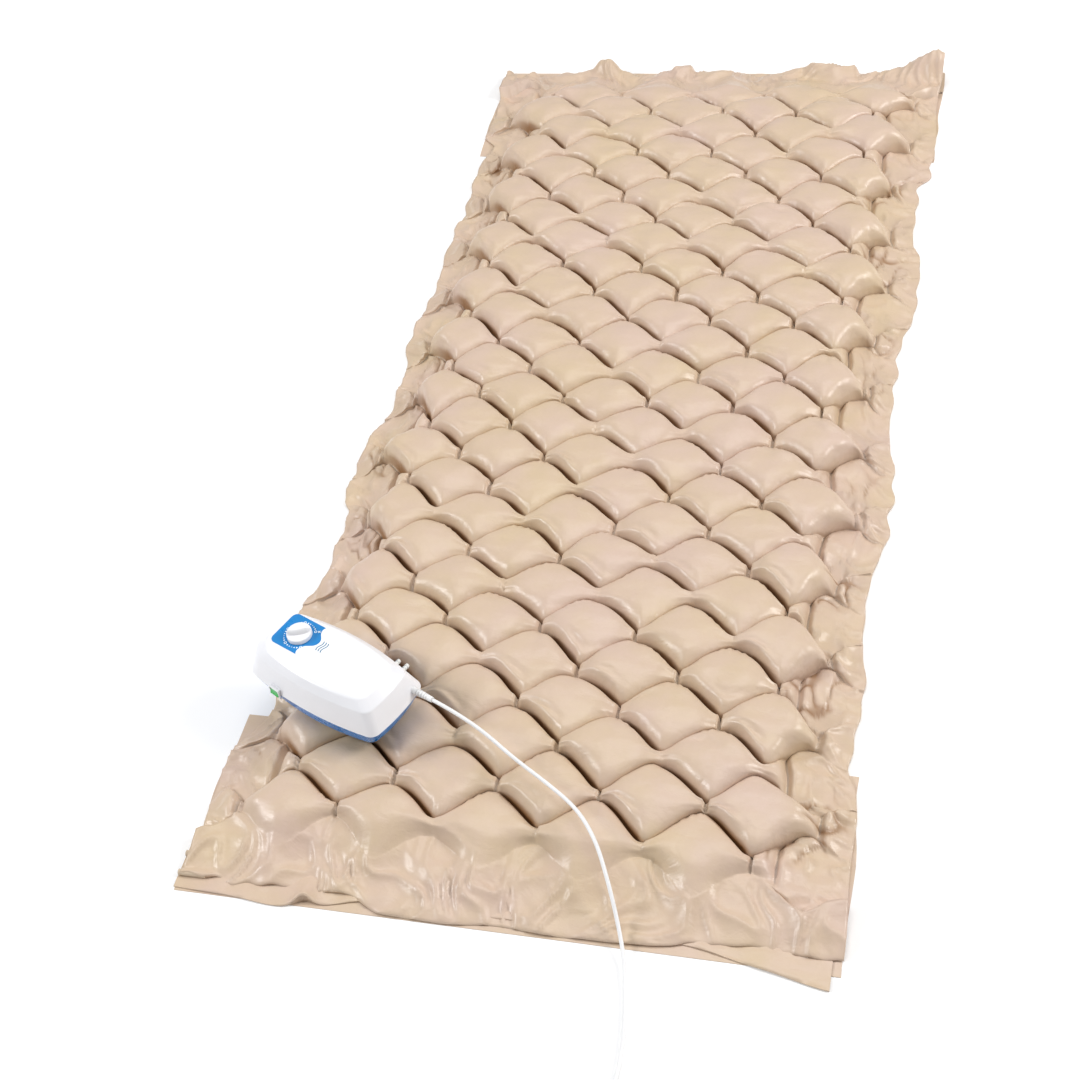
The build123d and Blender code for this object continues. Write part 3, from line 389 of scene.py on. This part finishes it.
def smooth_line(name, pts, closed_ends=True, resolution=10):
    """The points of the one NURBS spline that has pts as its control points."""
    cu = bpy.data.curves.new(name, "CURVE")
    cu.dimensions = "3D"
    cu.resolution_u = resolution
    sp = cu.splines.new("NURBS")
    sp.points.add(len(pts) - 1)
    for p, q in zip(sp.points, pts):
        p.co = (*q, 1.0)
    sp.order_u = 3
    sp.use_endpoint_u = True
    o = link(bpy.data.objects.new(name, cu))
    bpy.context.view_layer.update()
    dg = bpy.context.evaluated_depsgraph_get()
    me = bpy.data.meshes.new_from_object(o.evaluated_get(dg))
    line = [Vector(v.co) for v in me.vertices]
    bpy.data.objects.remove(o)
    bpy.data.curves.remove(cu)
    bpy.data.meshes.remove(me)
    keep = [line[0]]
    for p in line[1:]:
        if (p - keep[-1]).length > 1e-5:
            keep.append(p)
    return keep


cord_line = smooth_line("cord_route", route)
cord = tube_mesh("power_cord", cord_line, CORD / 2, 16)
cord_mat = plastic("cord_sheath", (0.84, 0.84, 0.845), 0.4, 0.04, 1800.0, 0.00005)
cord.data.materials.append(cord_mat)
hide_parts("power_cord_upper", "power_cord_lower", "power_cord_coil")


def strap(name, centre, along, half_w, half_h, width, thick, corner):
    """A thin band wrapped round the bundle of turns at centre; along is the way the turns run there."""
    along = Vector(along).normalized()
    across = Vector((0, 0, 1)).cross(along).normalized()
    prof = []
    steps = 6
    for cx, cz, a0 in ((1, 1, 0), (-1, 1, 90), (-1, -1, 180), (1, -1, 270)):
        for k in range(steps + 1):
            w = math.radians(a0 + 90 * k / steps)
            prof.append(((half_w - corner) * cx + corner * math.cos(w), (half_h - corner) * cz + corner * math.sin(w),
                         math.cos(w), math.sin(w)))
    pts, faces = [], []
    rows = [(-width / 2, 0.0), (-width / 2 + thick * 0.4, thick), (width / 2 - thick * 0.4, thick), (width / 2, 0.0)]
    for s, h in rows:
        for px, pz, nx, nz in prof:
            pts.append(Vector(centre) + along * s + across * (px + nx * h) + Vector((0, 0, 1)) * (pz + nz * h))
    n = len(prof)
    for r in range(len(rows) - 1):
        for k in range(n):
            a, b = r * n + k, r * n + (k + 1) % n
            faces.append((a, b, b + n, a + n))
    # the inside of the band closes it
    for k in range(n):
        a, b = k, (k + 1) % n
        faces.append((b, a, a + 3 * n, b + 3 * n))
    return mesh_object(name, pts, faces)


tie = strap("cord_tie", (coil_c[0] + 0.030, coil_c[1], 0.0064), (0, 1, 0), 0.0094, 0.0056, 0.009, 0.0004, 0.0028)
tie.data.materials.append(plastic("tie_strap", (0.05, 0.05, 0.055), 0.6, 0.3, 900.0, 0.0002))
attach(tie, "mattress")
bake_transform(cord)

# ------------------------------------------------------------------ the pad
rng = np.random.default_rng(11)


def waves(x, y, length, seed, n=7):
    """Smooth noise, about -1 to 1, from a few sine waves of about that wavelength."""
    g = np.random.default_rng(seed)
    total = np.zeros(np.broadcast(x, y).shape)
    for _ in range(n):
        w = g.uniform(0, 2 * math.pi)
        k = 2 * math.pi / (length * g.uniform(0.7, 1.6))
        total = total + np.sin(k * (math.cos(w) * x + math.sin(w) * y) + g.uniform(0, 2 * math.pi))
    return total / math.sqrt(n / 2) / 1.6


def step(v, a, b):
    t = np.clip((v - a) / (b - a), 0, 1)
    return t * t * (3 - 2 * t)


HALF_W, HALF_L = 0.45, 1.0
PITCH, PERIOD = 0.0695, 0.144
FIRST, LAST = -9, 16
NX, NT, NM = 277, 24, 24
AMP = 0.0236
FILM = 0.0013
WELD_Z = 0.0062

xs = np.linspace(-HALF_W, HALF_W, NX)


def cell_zero(k):
    return -0.036 if k % 2 == 0 else 0.036


def wave_shape(x):
    w = 2 * math.pi * x / PERIOD
    return (np.cos(w) + 0.03 * np.cos(3 * w)) / 1.03


def weld(k):
    """y of the weld line between row k and row k + 1, at every column."""
    base = -(k + 0.5 - 3.5) * PITCH
    x0 = cell_zero(k)
    amp = AMP * (1 - 0.6 * step(np.abs(xs), 0.395, 0.45))
    lean = 0.004 * np.sin(2 * math.pi * (xs - x0) / PERIOD)
    amp = amp * (1 + 0.21 * waves(xs, np.full(NX, base), 0.17, 200 + k))
    y = base - amp * wave_shape(xs - x0 + lean)
    return y + 0.0024 * waves(xs, np.full(NX, base), 0.13, 100 + k)


def side_edge(j):
    """Half width of the blown-up zone at row j: every other row stops a half cell short of the margin."""
    g = np.random.default_rng(1700 + j)
    right = (0.3560 if j % 2 == 0 else 0.4040) + g.uniform(-0.006, 0.006)
    left = (0.3560 if j % 2 != 0 else 0.4040) + g.uniform(-0.006, 0.006)
    return np.where(xs > 0, right, left)


def row_height(j):
    """Crown height of row j at every column, how near each column is to a neck, and its place in cells."""
    s = (xs - cell_zero(j)) / PERIOD
    cell = np.round(s)
    u = np.abs(s - cell) * 2
    g = np.random.default_rng(500 + j)
    tall = {c: (g.uniform(-0.0030, 0.0022), g.uniform(-0.06, 0.06)) for c in range(-7, 8)}
    h = np.array([0.0595 + tall[int(c)][0] + tall[int(c)][1] * (sv - c) * 0.10 for c, sv in zip(cell, s)])
    neck = np.floor(s)             # the neck to the right of cell floor(s)
    gn = np.random.default_rng(900 + j)
    shut = {c: gn.uniform() < 0.60 for c in range(-8, 9)}
    deep = {c: (gn.uniform(0.10, 0.22) if shut[c] else gn.uniform(0.04, 0.16)) for c in range(-8, 9)}
    cut = {c: (gn.uniform(0.34, 0.66) if shut[c] else gn.uniform(0.0, 0.05)) for c in range(-8, 9)}
    slim = {c: gn.uniform(0.022, 0.034) for c in range(-8, 9)}
    skew = {c: gn.uniform(-0.03, 0.03) for c in range(-8, 9)}
    d = np.array([abs(sv - (n + 0.5) - skew[int(n)] * 0.5) * 2 for sv, n in zip(s, neck)])
    dn = np.array([deep[int(c)] for c in neck])
    ct = np.array([cut[int(c)] for c in neck])
    sl = np.array([slim[int(c)] for c in neck])
    h = h * (1 - 0.06 * u ** 2 - dn * np.exp(-(d / 0.27) ** 2))
    cut_here = 1 - ct * np.exp(-(d / sl) ** 2)
    edge = side_edge(j)
    t = np.clip((np.abs(xs) - (edge - 0.052)) / 0.052, 0, 1)
    h = h * np.sqrt(np.clip(1 - t ** 2.6, 0, 1))
    end = 1.0 - 0.26 * (j == LAST) - 0.10 * (j == LAST - 1) - 0.20 * (j == FIRST) - 0.08 * (j == FIRST + 1)
    return h * end * cut_here, u, s, edge, h * end


rows_y, rows_z, rows_painted_shade = [], [], []
bot_y, bot_z = [], []


def add(y, z, painted_shade, yb, zb):
    rows_y.append(y)
    rows_z.append(z)
    rows_painted_shade.append(painted_shade)
    bot_y.append(yb)
    bot_z.append(zb)


def creased(x, y, length, seed):
    """Folded film: broad soft ridges with sharper valleys between them."""
    return 1 - np.abs(waves(x, y, length, seed)) ** 0.8


def margin_rows(end):
    """The flat welded margin at the head (end=1) or the foot (end=-1), from the outer edge inwards."""
    y_in = weld(FIRST - 1) if end > 0 else weld(LAST)
    if end > 0:
        y_out = 0.986 + 0.0080 * waves(xs, np.zeros(NX), 0.16, 71) + 0.004 * waves(xs, np.zeros(NX), 0.05, 74)
    else:
        y_out = -0.9955 + 0.0030 * waves(xs, np.zeros(NX), 0.13, 72)
        y_out = y_out + 0.018 * (1 - step(xs, -0.21, -0.15)) + 0.022 * step(xs, 0.205, 0.29) - 0.010 * step(xs, 0.33, 0.44)
        y_out = y_out + 0.004 * waves(xs, np.zeros(NX), 0.045, 73) * step(np.abs(xs), 0.2, 0.3)
    out_rows = []
    for i in range(NM + 1):
        f = i / NM                       # 0 at the outer edge, 1 at the cells
        y = y_out * (1 - f) + y_in * f
        sd = 81 if end > 0 else 86
        lean = xs + (y - y_in) * 0.9 * waves(xs, y, 0.22, sd + 3) + 0.014 * waves(xs, y, 0.08, sd + 4)
        fan = creased(lean, y * 0.55, 0.052, sd)
        slow = waves(xs, y, 0.085, sd + 1)
        fine = creased(lean * 1.1, y * 0.6, 0.026, sd + 2) * step(waves(xs, y, 0.11, sd + 5), -0.1, 0.7)
        puff = (0.026 if end > 0 else 0.018) * f ** (1.2 if end > 0 else 1.6)
        amp = 0.35 + 0.65 * math.sin(math.pi * min(1.0, 0.12 + 0.80 * f))
        z = FILM + 0.0004 + puff + amp * (0.0066 * np.clip(fan, 0, 1) ** 1.5 + 0.0030 * fine) + 0.0034 * (slow + 0.9) * amp
        sag = np.clip(1 - f / 0.06, 0, 1) * 0.0018
        z = z - sag
        if end > 0:                      # at the head bits of the margin stand up
            up = step(waves(xs, np.zeros(NX), 0.10, 75), 0.15, 0.9)
            z = z + 0.018 * up * step(0.62 - f, 0.0, 0.55)
            z = z + step(0.55 - f, 0.0, 0.5) * np.maximum(0.010 + 0.007 * waves(xs, np.zeros(NX), 0.14, 76), 0.004)
        out_rows.append((f, y, np.maximum(z, FILM)))
    return out_rows


head_margin, foot_margin = margin_rows(1), margin_rows(-1)
for f, y, z in head_margin[:-1]:
    # painted shade: the head margin darkens a little towards the cells
    add(y, z, np.full(NX, 0.05 * f ** 2), y, np.maximum(np.minimum(z - 0.0006, 0.0012 + 0.3 * z), 0.0006))

heights = {j: row_height(j) for j in range(FIRST, LAST + 1)}


def weld_height(k):
    """How high the weld between rows k and k + 1 is lifted: high where cells press together, low where they gape."""
    slope = np.gradient(weld(k), xs)
    lift = 0.029 + 0.014 * step(slope, -0.2, 0.9) - 0.017 * step(-slope, 0.0, 0.85)
    lift = lift * (1 + 0.14 * waves(xs, np.full(NX, k * PITCH), 0.14, 69))
    near = [heights[r][4] for r in (k, k + 1) if r in heights]
    return np.maximum(np.minimum(lift, 0.62 * np.min(near, axis=0) + 0.002), 0.004)


lifts = {k: weld_height(k) for k in range(FIRST - 1, LAST + 1)}

for j in range(FIRST, LAST + 1):
    top, low = weld(j - 1), weld(j)
    h, u, s, edge, h_wide = heights[j]
    mid, half = (top + low) / 2, (top - low) / 2
    slope_top, slope_low = np.gradient(top, xs), np.gradient(low, xs)
    # welds that run one way gape a little, the others are pressed shut
    gape = 1 + 0.45 * waves(xs, np.full(NX, j * PITCH), 0.16, 67)


    def press(slope, back):
        return 0.0052 * step(slope, -0.35, 0.55) - back * step(-slope, 0.05, 0.85) * gape + 0.0006

    shut_top, shut_low = press(slope_top, 0.0026), press(slope_low, 0.0044)
    margin_f = np.clip((np.abs(xs) - edge) / (0.45 - edge), 0, 1)
    flat = step(np.abs(xs), edge - 0.007, edge + 0.012)
    if j == FIRST:
        edge_z = head_margin[-1][2]
    for i in range(NT + (1 if j == LAST else 0)):
        t = 1 - 2 * i / NT
        # samples crowd towards the welds, where the film is steep
        c = math.copysign(1 - (1 - abs(t)) ** 1.75, t)
        sn = math.sqrt(max(0.0, 1 - c * c))
        outer = (j == FIRST and c > 0) or (j == LAST and c < 0)
        off = c
        slope = slope_top if c > 0 else slope_low
        open_here = step(-slope, 0.05, 0.80)
        full = open_here * (1.0 if c > 0 else 0.30)      # the far flank stands up, the near one rolls over
        dome = sn ** 2.3 if outer else (1 - abs(c) ** (2.35 + 1.3 * full)) ** (1 / (2.1 + 1.1 * full))
        bulge = (max(sn, 0.0) ** 0.6) * (abs(c) ** 0.7) * (0.0 if outer else 1.0)
        y = np.clip(mid + half * off + (shut_top if c > 0 else -shut_low) * bulge, low + 0.0001, top - 0.0001)
        if i == 0:
            y = top
        elif i == NT:
            y = low
        base = lifts[j - 1] if c > 0 else lifts[j]
        if outer:
            rim_z = head_margin[-1][2] if j == FIRST else foot_margin[-1][2]
            base = WELD_Z * (1 - abs(c)) + rim_z * abs(c)
        zz = base + (np.maximum(h, 0.0) - base) * dome
        # small wrinkles run out of the necks
        near_neck = np.exp(-((1 - u) / 0.36) ** 2)
        side_of = np.sign(s - np.round(s))
        ph = waves(np.round(s) * 3.7 + 0.4 * side_of, np.full(NX, j * 2.3), 5.0, 61) * 6
        wr = np.cos(off * 8.5 + ph) * 0.5 + np.cos(off * 15.0 - 1.7 * ph) * 0.30
        zz = zz + 0.0019 * wr * near_neck * dome
        # puckers that cross the welds in places
        near_weld = np.exp(-((1 - abs(off)) / 0.20) ** 2) * dome ** 0.5
        where = step(waves(xs, np.full(NX, j * PITCH + 0.03 * math.copysign(1, c)), 0.075, 66), 0.25, 0.85)
        zz = zz + 0.0022 * np.cos(2 * math.pi * xs / 0.0115 + 3.0 * ph) * near_weld * where
        # broad unevenness, and a soft dent with a raised lip beside some edges
        zz = zz + 0.0009 * waves(xs * 0.8, y * 1.5, 0.038, 62) * dome
        zz = zz + 0.0017 * waves(xs, y, 0.10, 63) * dome
        for cidx in range(-5, 6):
            gg = np.random.default_rng(7000 + 40 * (j + 20) + cidx + 10)
            if gg.uniform() < 0.55:
                sd = 1.0 if gg.uniform() < 0.72 else -1.0
                tilt = gg.uniform(0.15, 0.55)
                du = (s - cidx) * 2
                line = -0.46 * sd + tilt * (du + 0.2) * -1.0
                cu0 = gg.uniform(-0.65, 0.15)
                win = np.exp(-((du - cu0) / 0.36) ** 2)
                dd = (off - line) / 0.085
                zz = zz - gg.uniform(0.0026, 0.0056) * np.exp(-dd ** 2) * win * dome
                zz = zz + gg.uniform(0.0018, 0.0038) * np.exp(-((off - line + 0.17 * sd) / 0.10) ** 2) * win * dome
        warp = 0.012 * waves(xs, y, 0.07, 68)
        gather = creased(xs * 0.55 + 0.4 * mid, y + warp, 0.038, 64)
        flat_z = (FILM + 0.0006 + 0.021 * (1 - margin_f) ** 2 * (0.55 + 0.45 * sn)
                  + 0.0070 * np.clip(gather, 0, 1) ** 1.5 * (0.30 + 0.70 * np.sin(math.pi * np.clip(0.15 + 0.75 * (1 - margin_f), 0, 1)))
                  + 0.0018 * (waves(xs, y, 0.07, 65) + 1) * (0.4 + 0.6 * (1 - margin_f)))
        flat_z = flat_z * (1 - 0.35 * (1 - sn) ** 4 * (1 - margin_f))
        # tight crumples where the row ends gather into the margin
        line_w = waves(xs * 1.15, y, 0.056, 94)
        crack = np.exp(-(line_w / 0.30) ** 2) * step(waves(xs, y, 0.15, 95), 0.05, 0.75)
        band = step(np.abs(xs), edge - 0.030, edge - 0.006) * (1 - step(margin_f, 0.35, 0.95))
        flat_z = flat_z - 0.0050 * crack * band
        zz = zz - 0.0045 * crack * band * dome
        zz = zz * (1 - flat) + np.maximum(flat_z, FILM) * flat
        # painted shade: a brown band is painted into the film beside each weld where the crevice is in shadow, wider on
        # gaping flanks and in the far rows
        far = step(y, -0.75, 0.10)
        reach = 0.40 - 0.16 * np.clip(slope / 0.95, -1, 1) + 0.09 * far * open_here
        painted_shade = (1 - step(sn / reach, 0.55, 1.0)) * (1 - flat) * (0.05 if outer else 1.0) * (0.40 + 0.60 * open_here)
        painted_shade = painted_shade * (1 - 0.75 * step(np.abs(xs), edge - 0.055, edge - 0.012))
        # painted shade also darkens the tight crumples where the row ends gather into the margin
        painted_shade = np.maximum(painted_shade, 0.85 * crack * band * step(np.abs(line_w), 0.34, 0.0) )
        yb = mid + half * c
        zb = 0.0006 + (base - 0.0014) * (abs(c) ** 7) * (1 - flat)
        zb = np.maximum(np.minimum(zb, zz - 0.0006), 0.0005)
        add(y, zz, np.clip(painted_shade, 0, 1), yb, zb)

for f, y, z in list(reversed(foot_margin))[1:]:
    # painted shade: the foot margin darkens a little towards the cells
    add(y, z, np.full(NX, 0.05 * f ** 2), y, np.maximum(np.minimum(z - 0.0006, 0.0012 + 0.3 * z), 0.0006))

Y = np.array(rows_y)
Z = np.array(rows_z)
S = np.array(rows_painted_shade)
YB = np.array(bot_y)
ZB = np.array(bot_z)
X = np.broadcast_to(xs, Y.shape).copy()


def shape_edge(X, Y):
    """The side outline: pulled in and uneven where the cells are blown up, full width at the two ends."""
    inner = step(np.abs(X), 0.20, 0.45)
    y_low, y_high = -0.725, 0.735
    along = step(Y, y_low - 0.05, y_low + 0.03) * (1 - step(Y, y_high - 0.01, y_high + 0.03))
    sg = np.sign(X)
    tabs = np.tanh(5.0 * waves(sg * 0.7, Y, 0.21, 91))
    wob = 0.0014 * np.cos(2 * math.pi * (Y / PITCH) + 0.8 * sg) + 0.0095 * tabs + 0.0036 * waves(sg * 0.3, Y, 0.070, 92)
    mean = np.where(sg < 0, 0.027, 0.016)
    ends = 0.0035 + 0.0030 * waves(sg * 0.5, Y, 0.12, 93)
    pull = along * (mean + wob) + (1 - along) * ends
    return X - sg * inner ** 2 * pull


XT = shape_edge(X, Y)
XB = shape_edge(X, YB)
# the film's corner at the head stands up a little, and so does the near corner at the foot
corner = step(X, 0.325, 0.450) * step(Y, 0.930, 0.992)
Z = Z + 0.050 * corner
ZB = ZB + 0.050 * corner
fold = step(-X, 0.37, 0.45) * step(-Y, 0.955, 0.985)
Z = Z + 0.003 * fold
ZB = ZB + 0.003 * fold
# the film closes over the two air inlets at the foot's left corner
for inlet in ("air_inlet_a", "air_inlet_b"):
    lo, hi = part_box(inlet)
    cy, cz, rr = (lo[1] + hi[1]) / 2, (lo[2] + hi[2]) / 2, (hi[1] - lo[1]) / 2
    away = (Y - cy) / (rr + 0.0012)
    over = np.where(np.abs(away) < 1, cz + (rr + 0.0012) * np.sqrt(np.clip(1 - away ** 2, 0, 1)), 0)
    skirt = (cz + 0.002) * np.exp(-((np.abs(away) - 1).clip(0) / 0.9) ** 2)
    cover = np.maximum(over, skirt) * (1 - step(X, hi[0] - 0.004, hi[0] + 0.030))
    Z = np.maximum(Z, cover)
Z = np.minimum(Z, 0.0646)
ZB = np.maximum(np.minimum(ZB, Z - 0.0005), 0.00045)

R, C = Y.shape
top_points = np.stack([XT, Y, Z], -1).reshape(-1, 3)
bot_points = np.stack([XB, YB, ZB], -1).reshape(-1, 3)
idx = np.arange(R * C).reshape(R, C)
a, b, c, d = idx[:-1, :-1], idx[:-1, 1:], idx[1:, 1:], idx[1:, :-1]
top_quads = np.stack([a, d, c, b], -1).reshape(-1, 4)
bot_quads = np.stack([a, b, c, d], -1).reshape(-1, 4) + R * C
rim = []
ring = list(idx[0, :]) + list(idx[1:, -1]) + list(idx[-1, -2::-1]) + list(idx[-2:0:-1, 0])
for k in range(len(ring)):
    p, q = ring[k], ring[(k + 1) % len(ring)]
    rim.append((p, q, q + R * C, p + R * C))
pad = fast_mesh("bubble_pad", np.concatenate([top_points, bot_points]),
                np.concatenate([top_quads, bot_quads, np.array(rim)]))
painted_shade = pad.data.attributes.new("painted_shade", "FLOAT", "POINT")
# painted shade: the top gets the full crevice shade, the underside 0.35 of it
painted_shade.data.foreach_set("value", np.concatenate([S.reshape(-1), 0.35 * S.reshape(-1)]).astype(np.float32))
pad.data.materials.append(vinyl("vinyl_pad", VINYL, VINYL_PINK, VINYL_PAINTED_SHADE, painted_shade=True))
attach(pad, "mattress")
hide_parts("bottom_film", "top_film", "air_cells_circuit_a", "air_cells_circuit_b", "feed_channel_a", "feed_channel_b")


# ------------------------------------------------------------------ the flaps
def flap(name, end, body, node):
    """The end flap, tucked flat under the pad, with a welded hem on its three free sides."""
    nx, ny = 91, 31
    u = np.linspace(-1, 1, nx)
    v = np.linspace(0, 1, ny)
    U, V = np.meshgrid(u, v)
    x = 0.450 * U * (1 - 0.004 * V)
    x = x + (0.0035 * waves(np.sign(U), V * 0.3, 0.10, 301 + end) - 0.0045 * V) * np.sign(U) * np.abs(U) ** 6 * step(V, 0.0, 0.15)
    y = end * (1.0 - 0.2995 * V)
    hem = np.maximum(step(np.abs(U), 0.972, 0.985), step(V, 0.955, 0.975))
    z = 0.00018 + 0.00012 * hem + 0.00008 * waves(x, y, 0.06, 305 + end)
    z = np.clip(z, 0.00002, 0.00042)
    z[0, :] = 0.0002
    pts = np.stack([x, y, z], -1).reshape(-1, 3)
    i = np.arange(nx * ny).reshape(ny, nx)
    q = np.stack([i[:-1, :-1], i[:-1, 1:], i[1:, 1:], i[1:, :-1]], -1).reshape(-1, 4)
    if end > 0:
        q = q[:, ::-1]
    o = fast_mesh(name, pts, q)
    o.data.materials.append(mats["pvc_film"])
    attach(o, body)
    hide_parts(node)
    return o


flap("foot_flap_sheet", -1, "foot_flap_body", "foot_flap")
flap("head_flap_sheet", 1, "head_flap_body", "head_flap")


def edge_fold(name, end, seed):
    """The soft fold where the end flap turns under: it shows past the pad's margin in places."""
    nx = 201
    right = 0.438 if end < 0 else 0.449
    x = np.linspace(-0.4515, right, nx)
    if end < 0:
        edge_y = 0.9835 + 0.0035 * waves(x, np.zeros(nx), 0.09, seed)
        edge_y = edge_y + 0.0155 * (1 - step(x, -0.235, -0.165)) - 0.004 * np.exp(-((x + 0.262) / 0.012) ** 2)
        edge_y = edge_y + 0.036 * np.clip((x - 0.235) / 0.20, 0, 1) ** 0.9
    else:
        edge_y = 0.9885 + 0.006 * waves(x, np.zeros(nx), 0.16, seed) + 0.008 * step(x, 0.25, 0.40)
    thick = np.clip(0.0032 + 0.0014 * waves(x, np.zeros(nx), 0.05, seed + 1), 0.0014, 0.006)
    curl = 0.011 * np.exp(-((x + 0.262) / 0.015) ** 2) if end < 0 else 0.005 * np.exp(-((x - 0.33) / 0.03) ** 2)
    prof = [("root", k / 4) for k in range(4)]
    prof += [("low", k / 8) for k in range(9)] + [("turn", k / 8) for k in range(1, 8)] + [("up", k / 12) for k in range(13)]
    pts = []
    for kind, t in prof:
        edge = edge_y - thick / 2
        if kind == "root":               # flat film out to the line the flap folds on
            y = np.full(nx, 0.9998 + (0.930 - 0.9998) * t)
            z = np.full(nx, 0.00044)
        elif kind == "low":
            y = 0.930 + (edge - 0.930) * t
            z = np.full(nx, 0.00052 + 0.00006 * min(1.0, 4 * t))
        elif kind == "turn":
            w = -math.pi / 2 + math.pi * t
            y = edge + thick / 2 * math.cos(w)
            z = 0.00058 + thick / 2 * (1 + math.sin(w))
        else:
            y = edge + (0.938 - edge) * t
            z = 0.00058 + thick * (1 - t) ** 0.7 + 0.0007 * waves(x, np.full(nx, 0.3 * t), 0.035, seed + 2) * (1 - t)
            z = np.maximum(z, 0.00064)
        rise = curl * {"root": 0.0, "low": 0.2 * t, "turn": 1.0, "up": (1 - t) ** 2}[kind]
        y = y - rise * 0.5
        px = np.linspace(-0.4495, 0.4495, nx) if kind == "root" else x
        pts.append(np.stack([px, end * y, z + rise], -1))
    P = np.array(pts)
    n, m = P.shape[0], P.shape[1]
    i = np.arange(n * m).reshape(n, m)
    q = np.stack([i[:-1, :-1], i[:-1, 1:], i[1:, 1:], i[1:, :-1]], -1).reshape(-1, 4)
    if end > 0:
        q = q[:, ::-1]
    o = fast_mesh(name, P.reshape(-1, 3), q)
    o.data.materials.append(mats["pvc_film"])
    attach(o, "mattress")
    return o


edge_fold("foot_fold", -1, 401)
edge_fold("head_fold", 1, 411)

# ------------------------------------------------------------------ floor and light
floor_me = bpy.data.meshes.new("floor")
floor_me.from_pydata([(-12, -12, -0.0002), (12, -12, -0.0002), (12, 12, -0.0002), (-12, 12, -0.0002)], [], [(0, 1, 2, 3)])
floor = link(bpy.data.objects.new("floor", floor_me))
fm = Mat("floor")
fm.colour(fm.ramp(fm.noise(2.0, 2.0, 0.5), [(0.3, (0.965, 0.965, 0.965)), (0.7, (0.98, 0.98, 0.98))]))
fm.set(Roughness=0.9, Specular_IOR_Level=0.15)
floor.data.materials.append(fm.mat)

world = bpy.data.worlds.new("studio")
bpy.context.scene.world = world
world.use_nodes = True
bg = next(n for n in world.node_tree.nodes if n.type == "BACKGROUND")
bg.inputs["Color"].default_value = (0.98, 0.985, 1.0, 1)
bg.inputs["Strength"].default_value = 0.40


def area(name, at, aim, size, power, colour=(1, 1, 1)):
    li = bpy.data.lights.new(name, "AREA")
    li.shape = "RECTANGLE"
    li.size, li.size_y = size
    li.energy = power
    li.color = colour
    o = link(bpy.data.objects.new(name, li))
    o.location = at
    o.rotation_mode = "QUATERNION"
    o.rotation_quaternion = (Vector(aim) - Vector(at)).to_track_quat("-Z", "Y")
    return o


area("key", (4.6, 0.6, 3.4), (0.0, 0.1, 0.0), (2.0, 2.0), 187, (1.0, 0.985, 0.965))
area("left", (-4.5, -1.5, 3.4), (-0.1, -0.1, 0.0), (1.4, 1.4), 145, (0.98, 0.99, 1.0))
area("over", (0.0, 0.9, 5.2), (0.0, 0.3, 0.0), (3.6, 3.6), 106)

view = bpy.context.scene.view_settings
view.view_transform = "Standard"
view.look = "None"
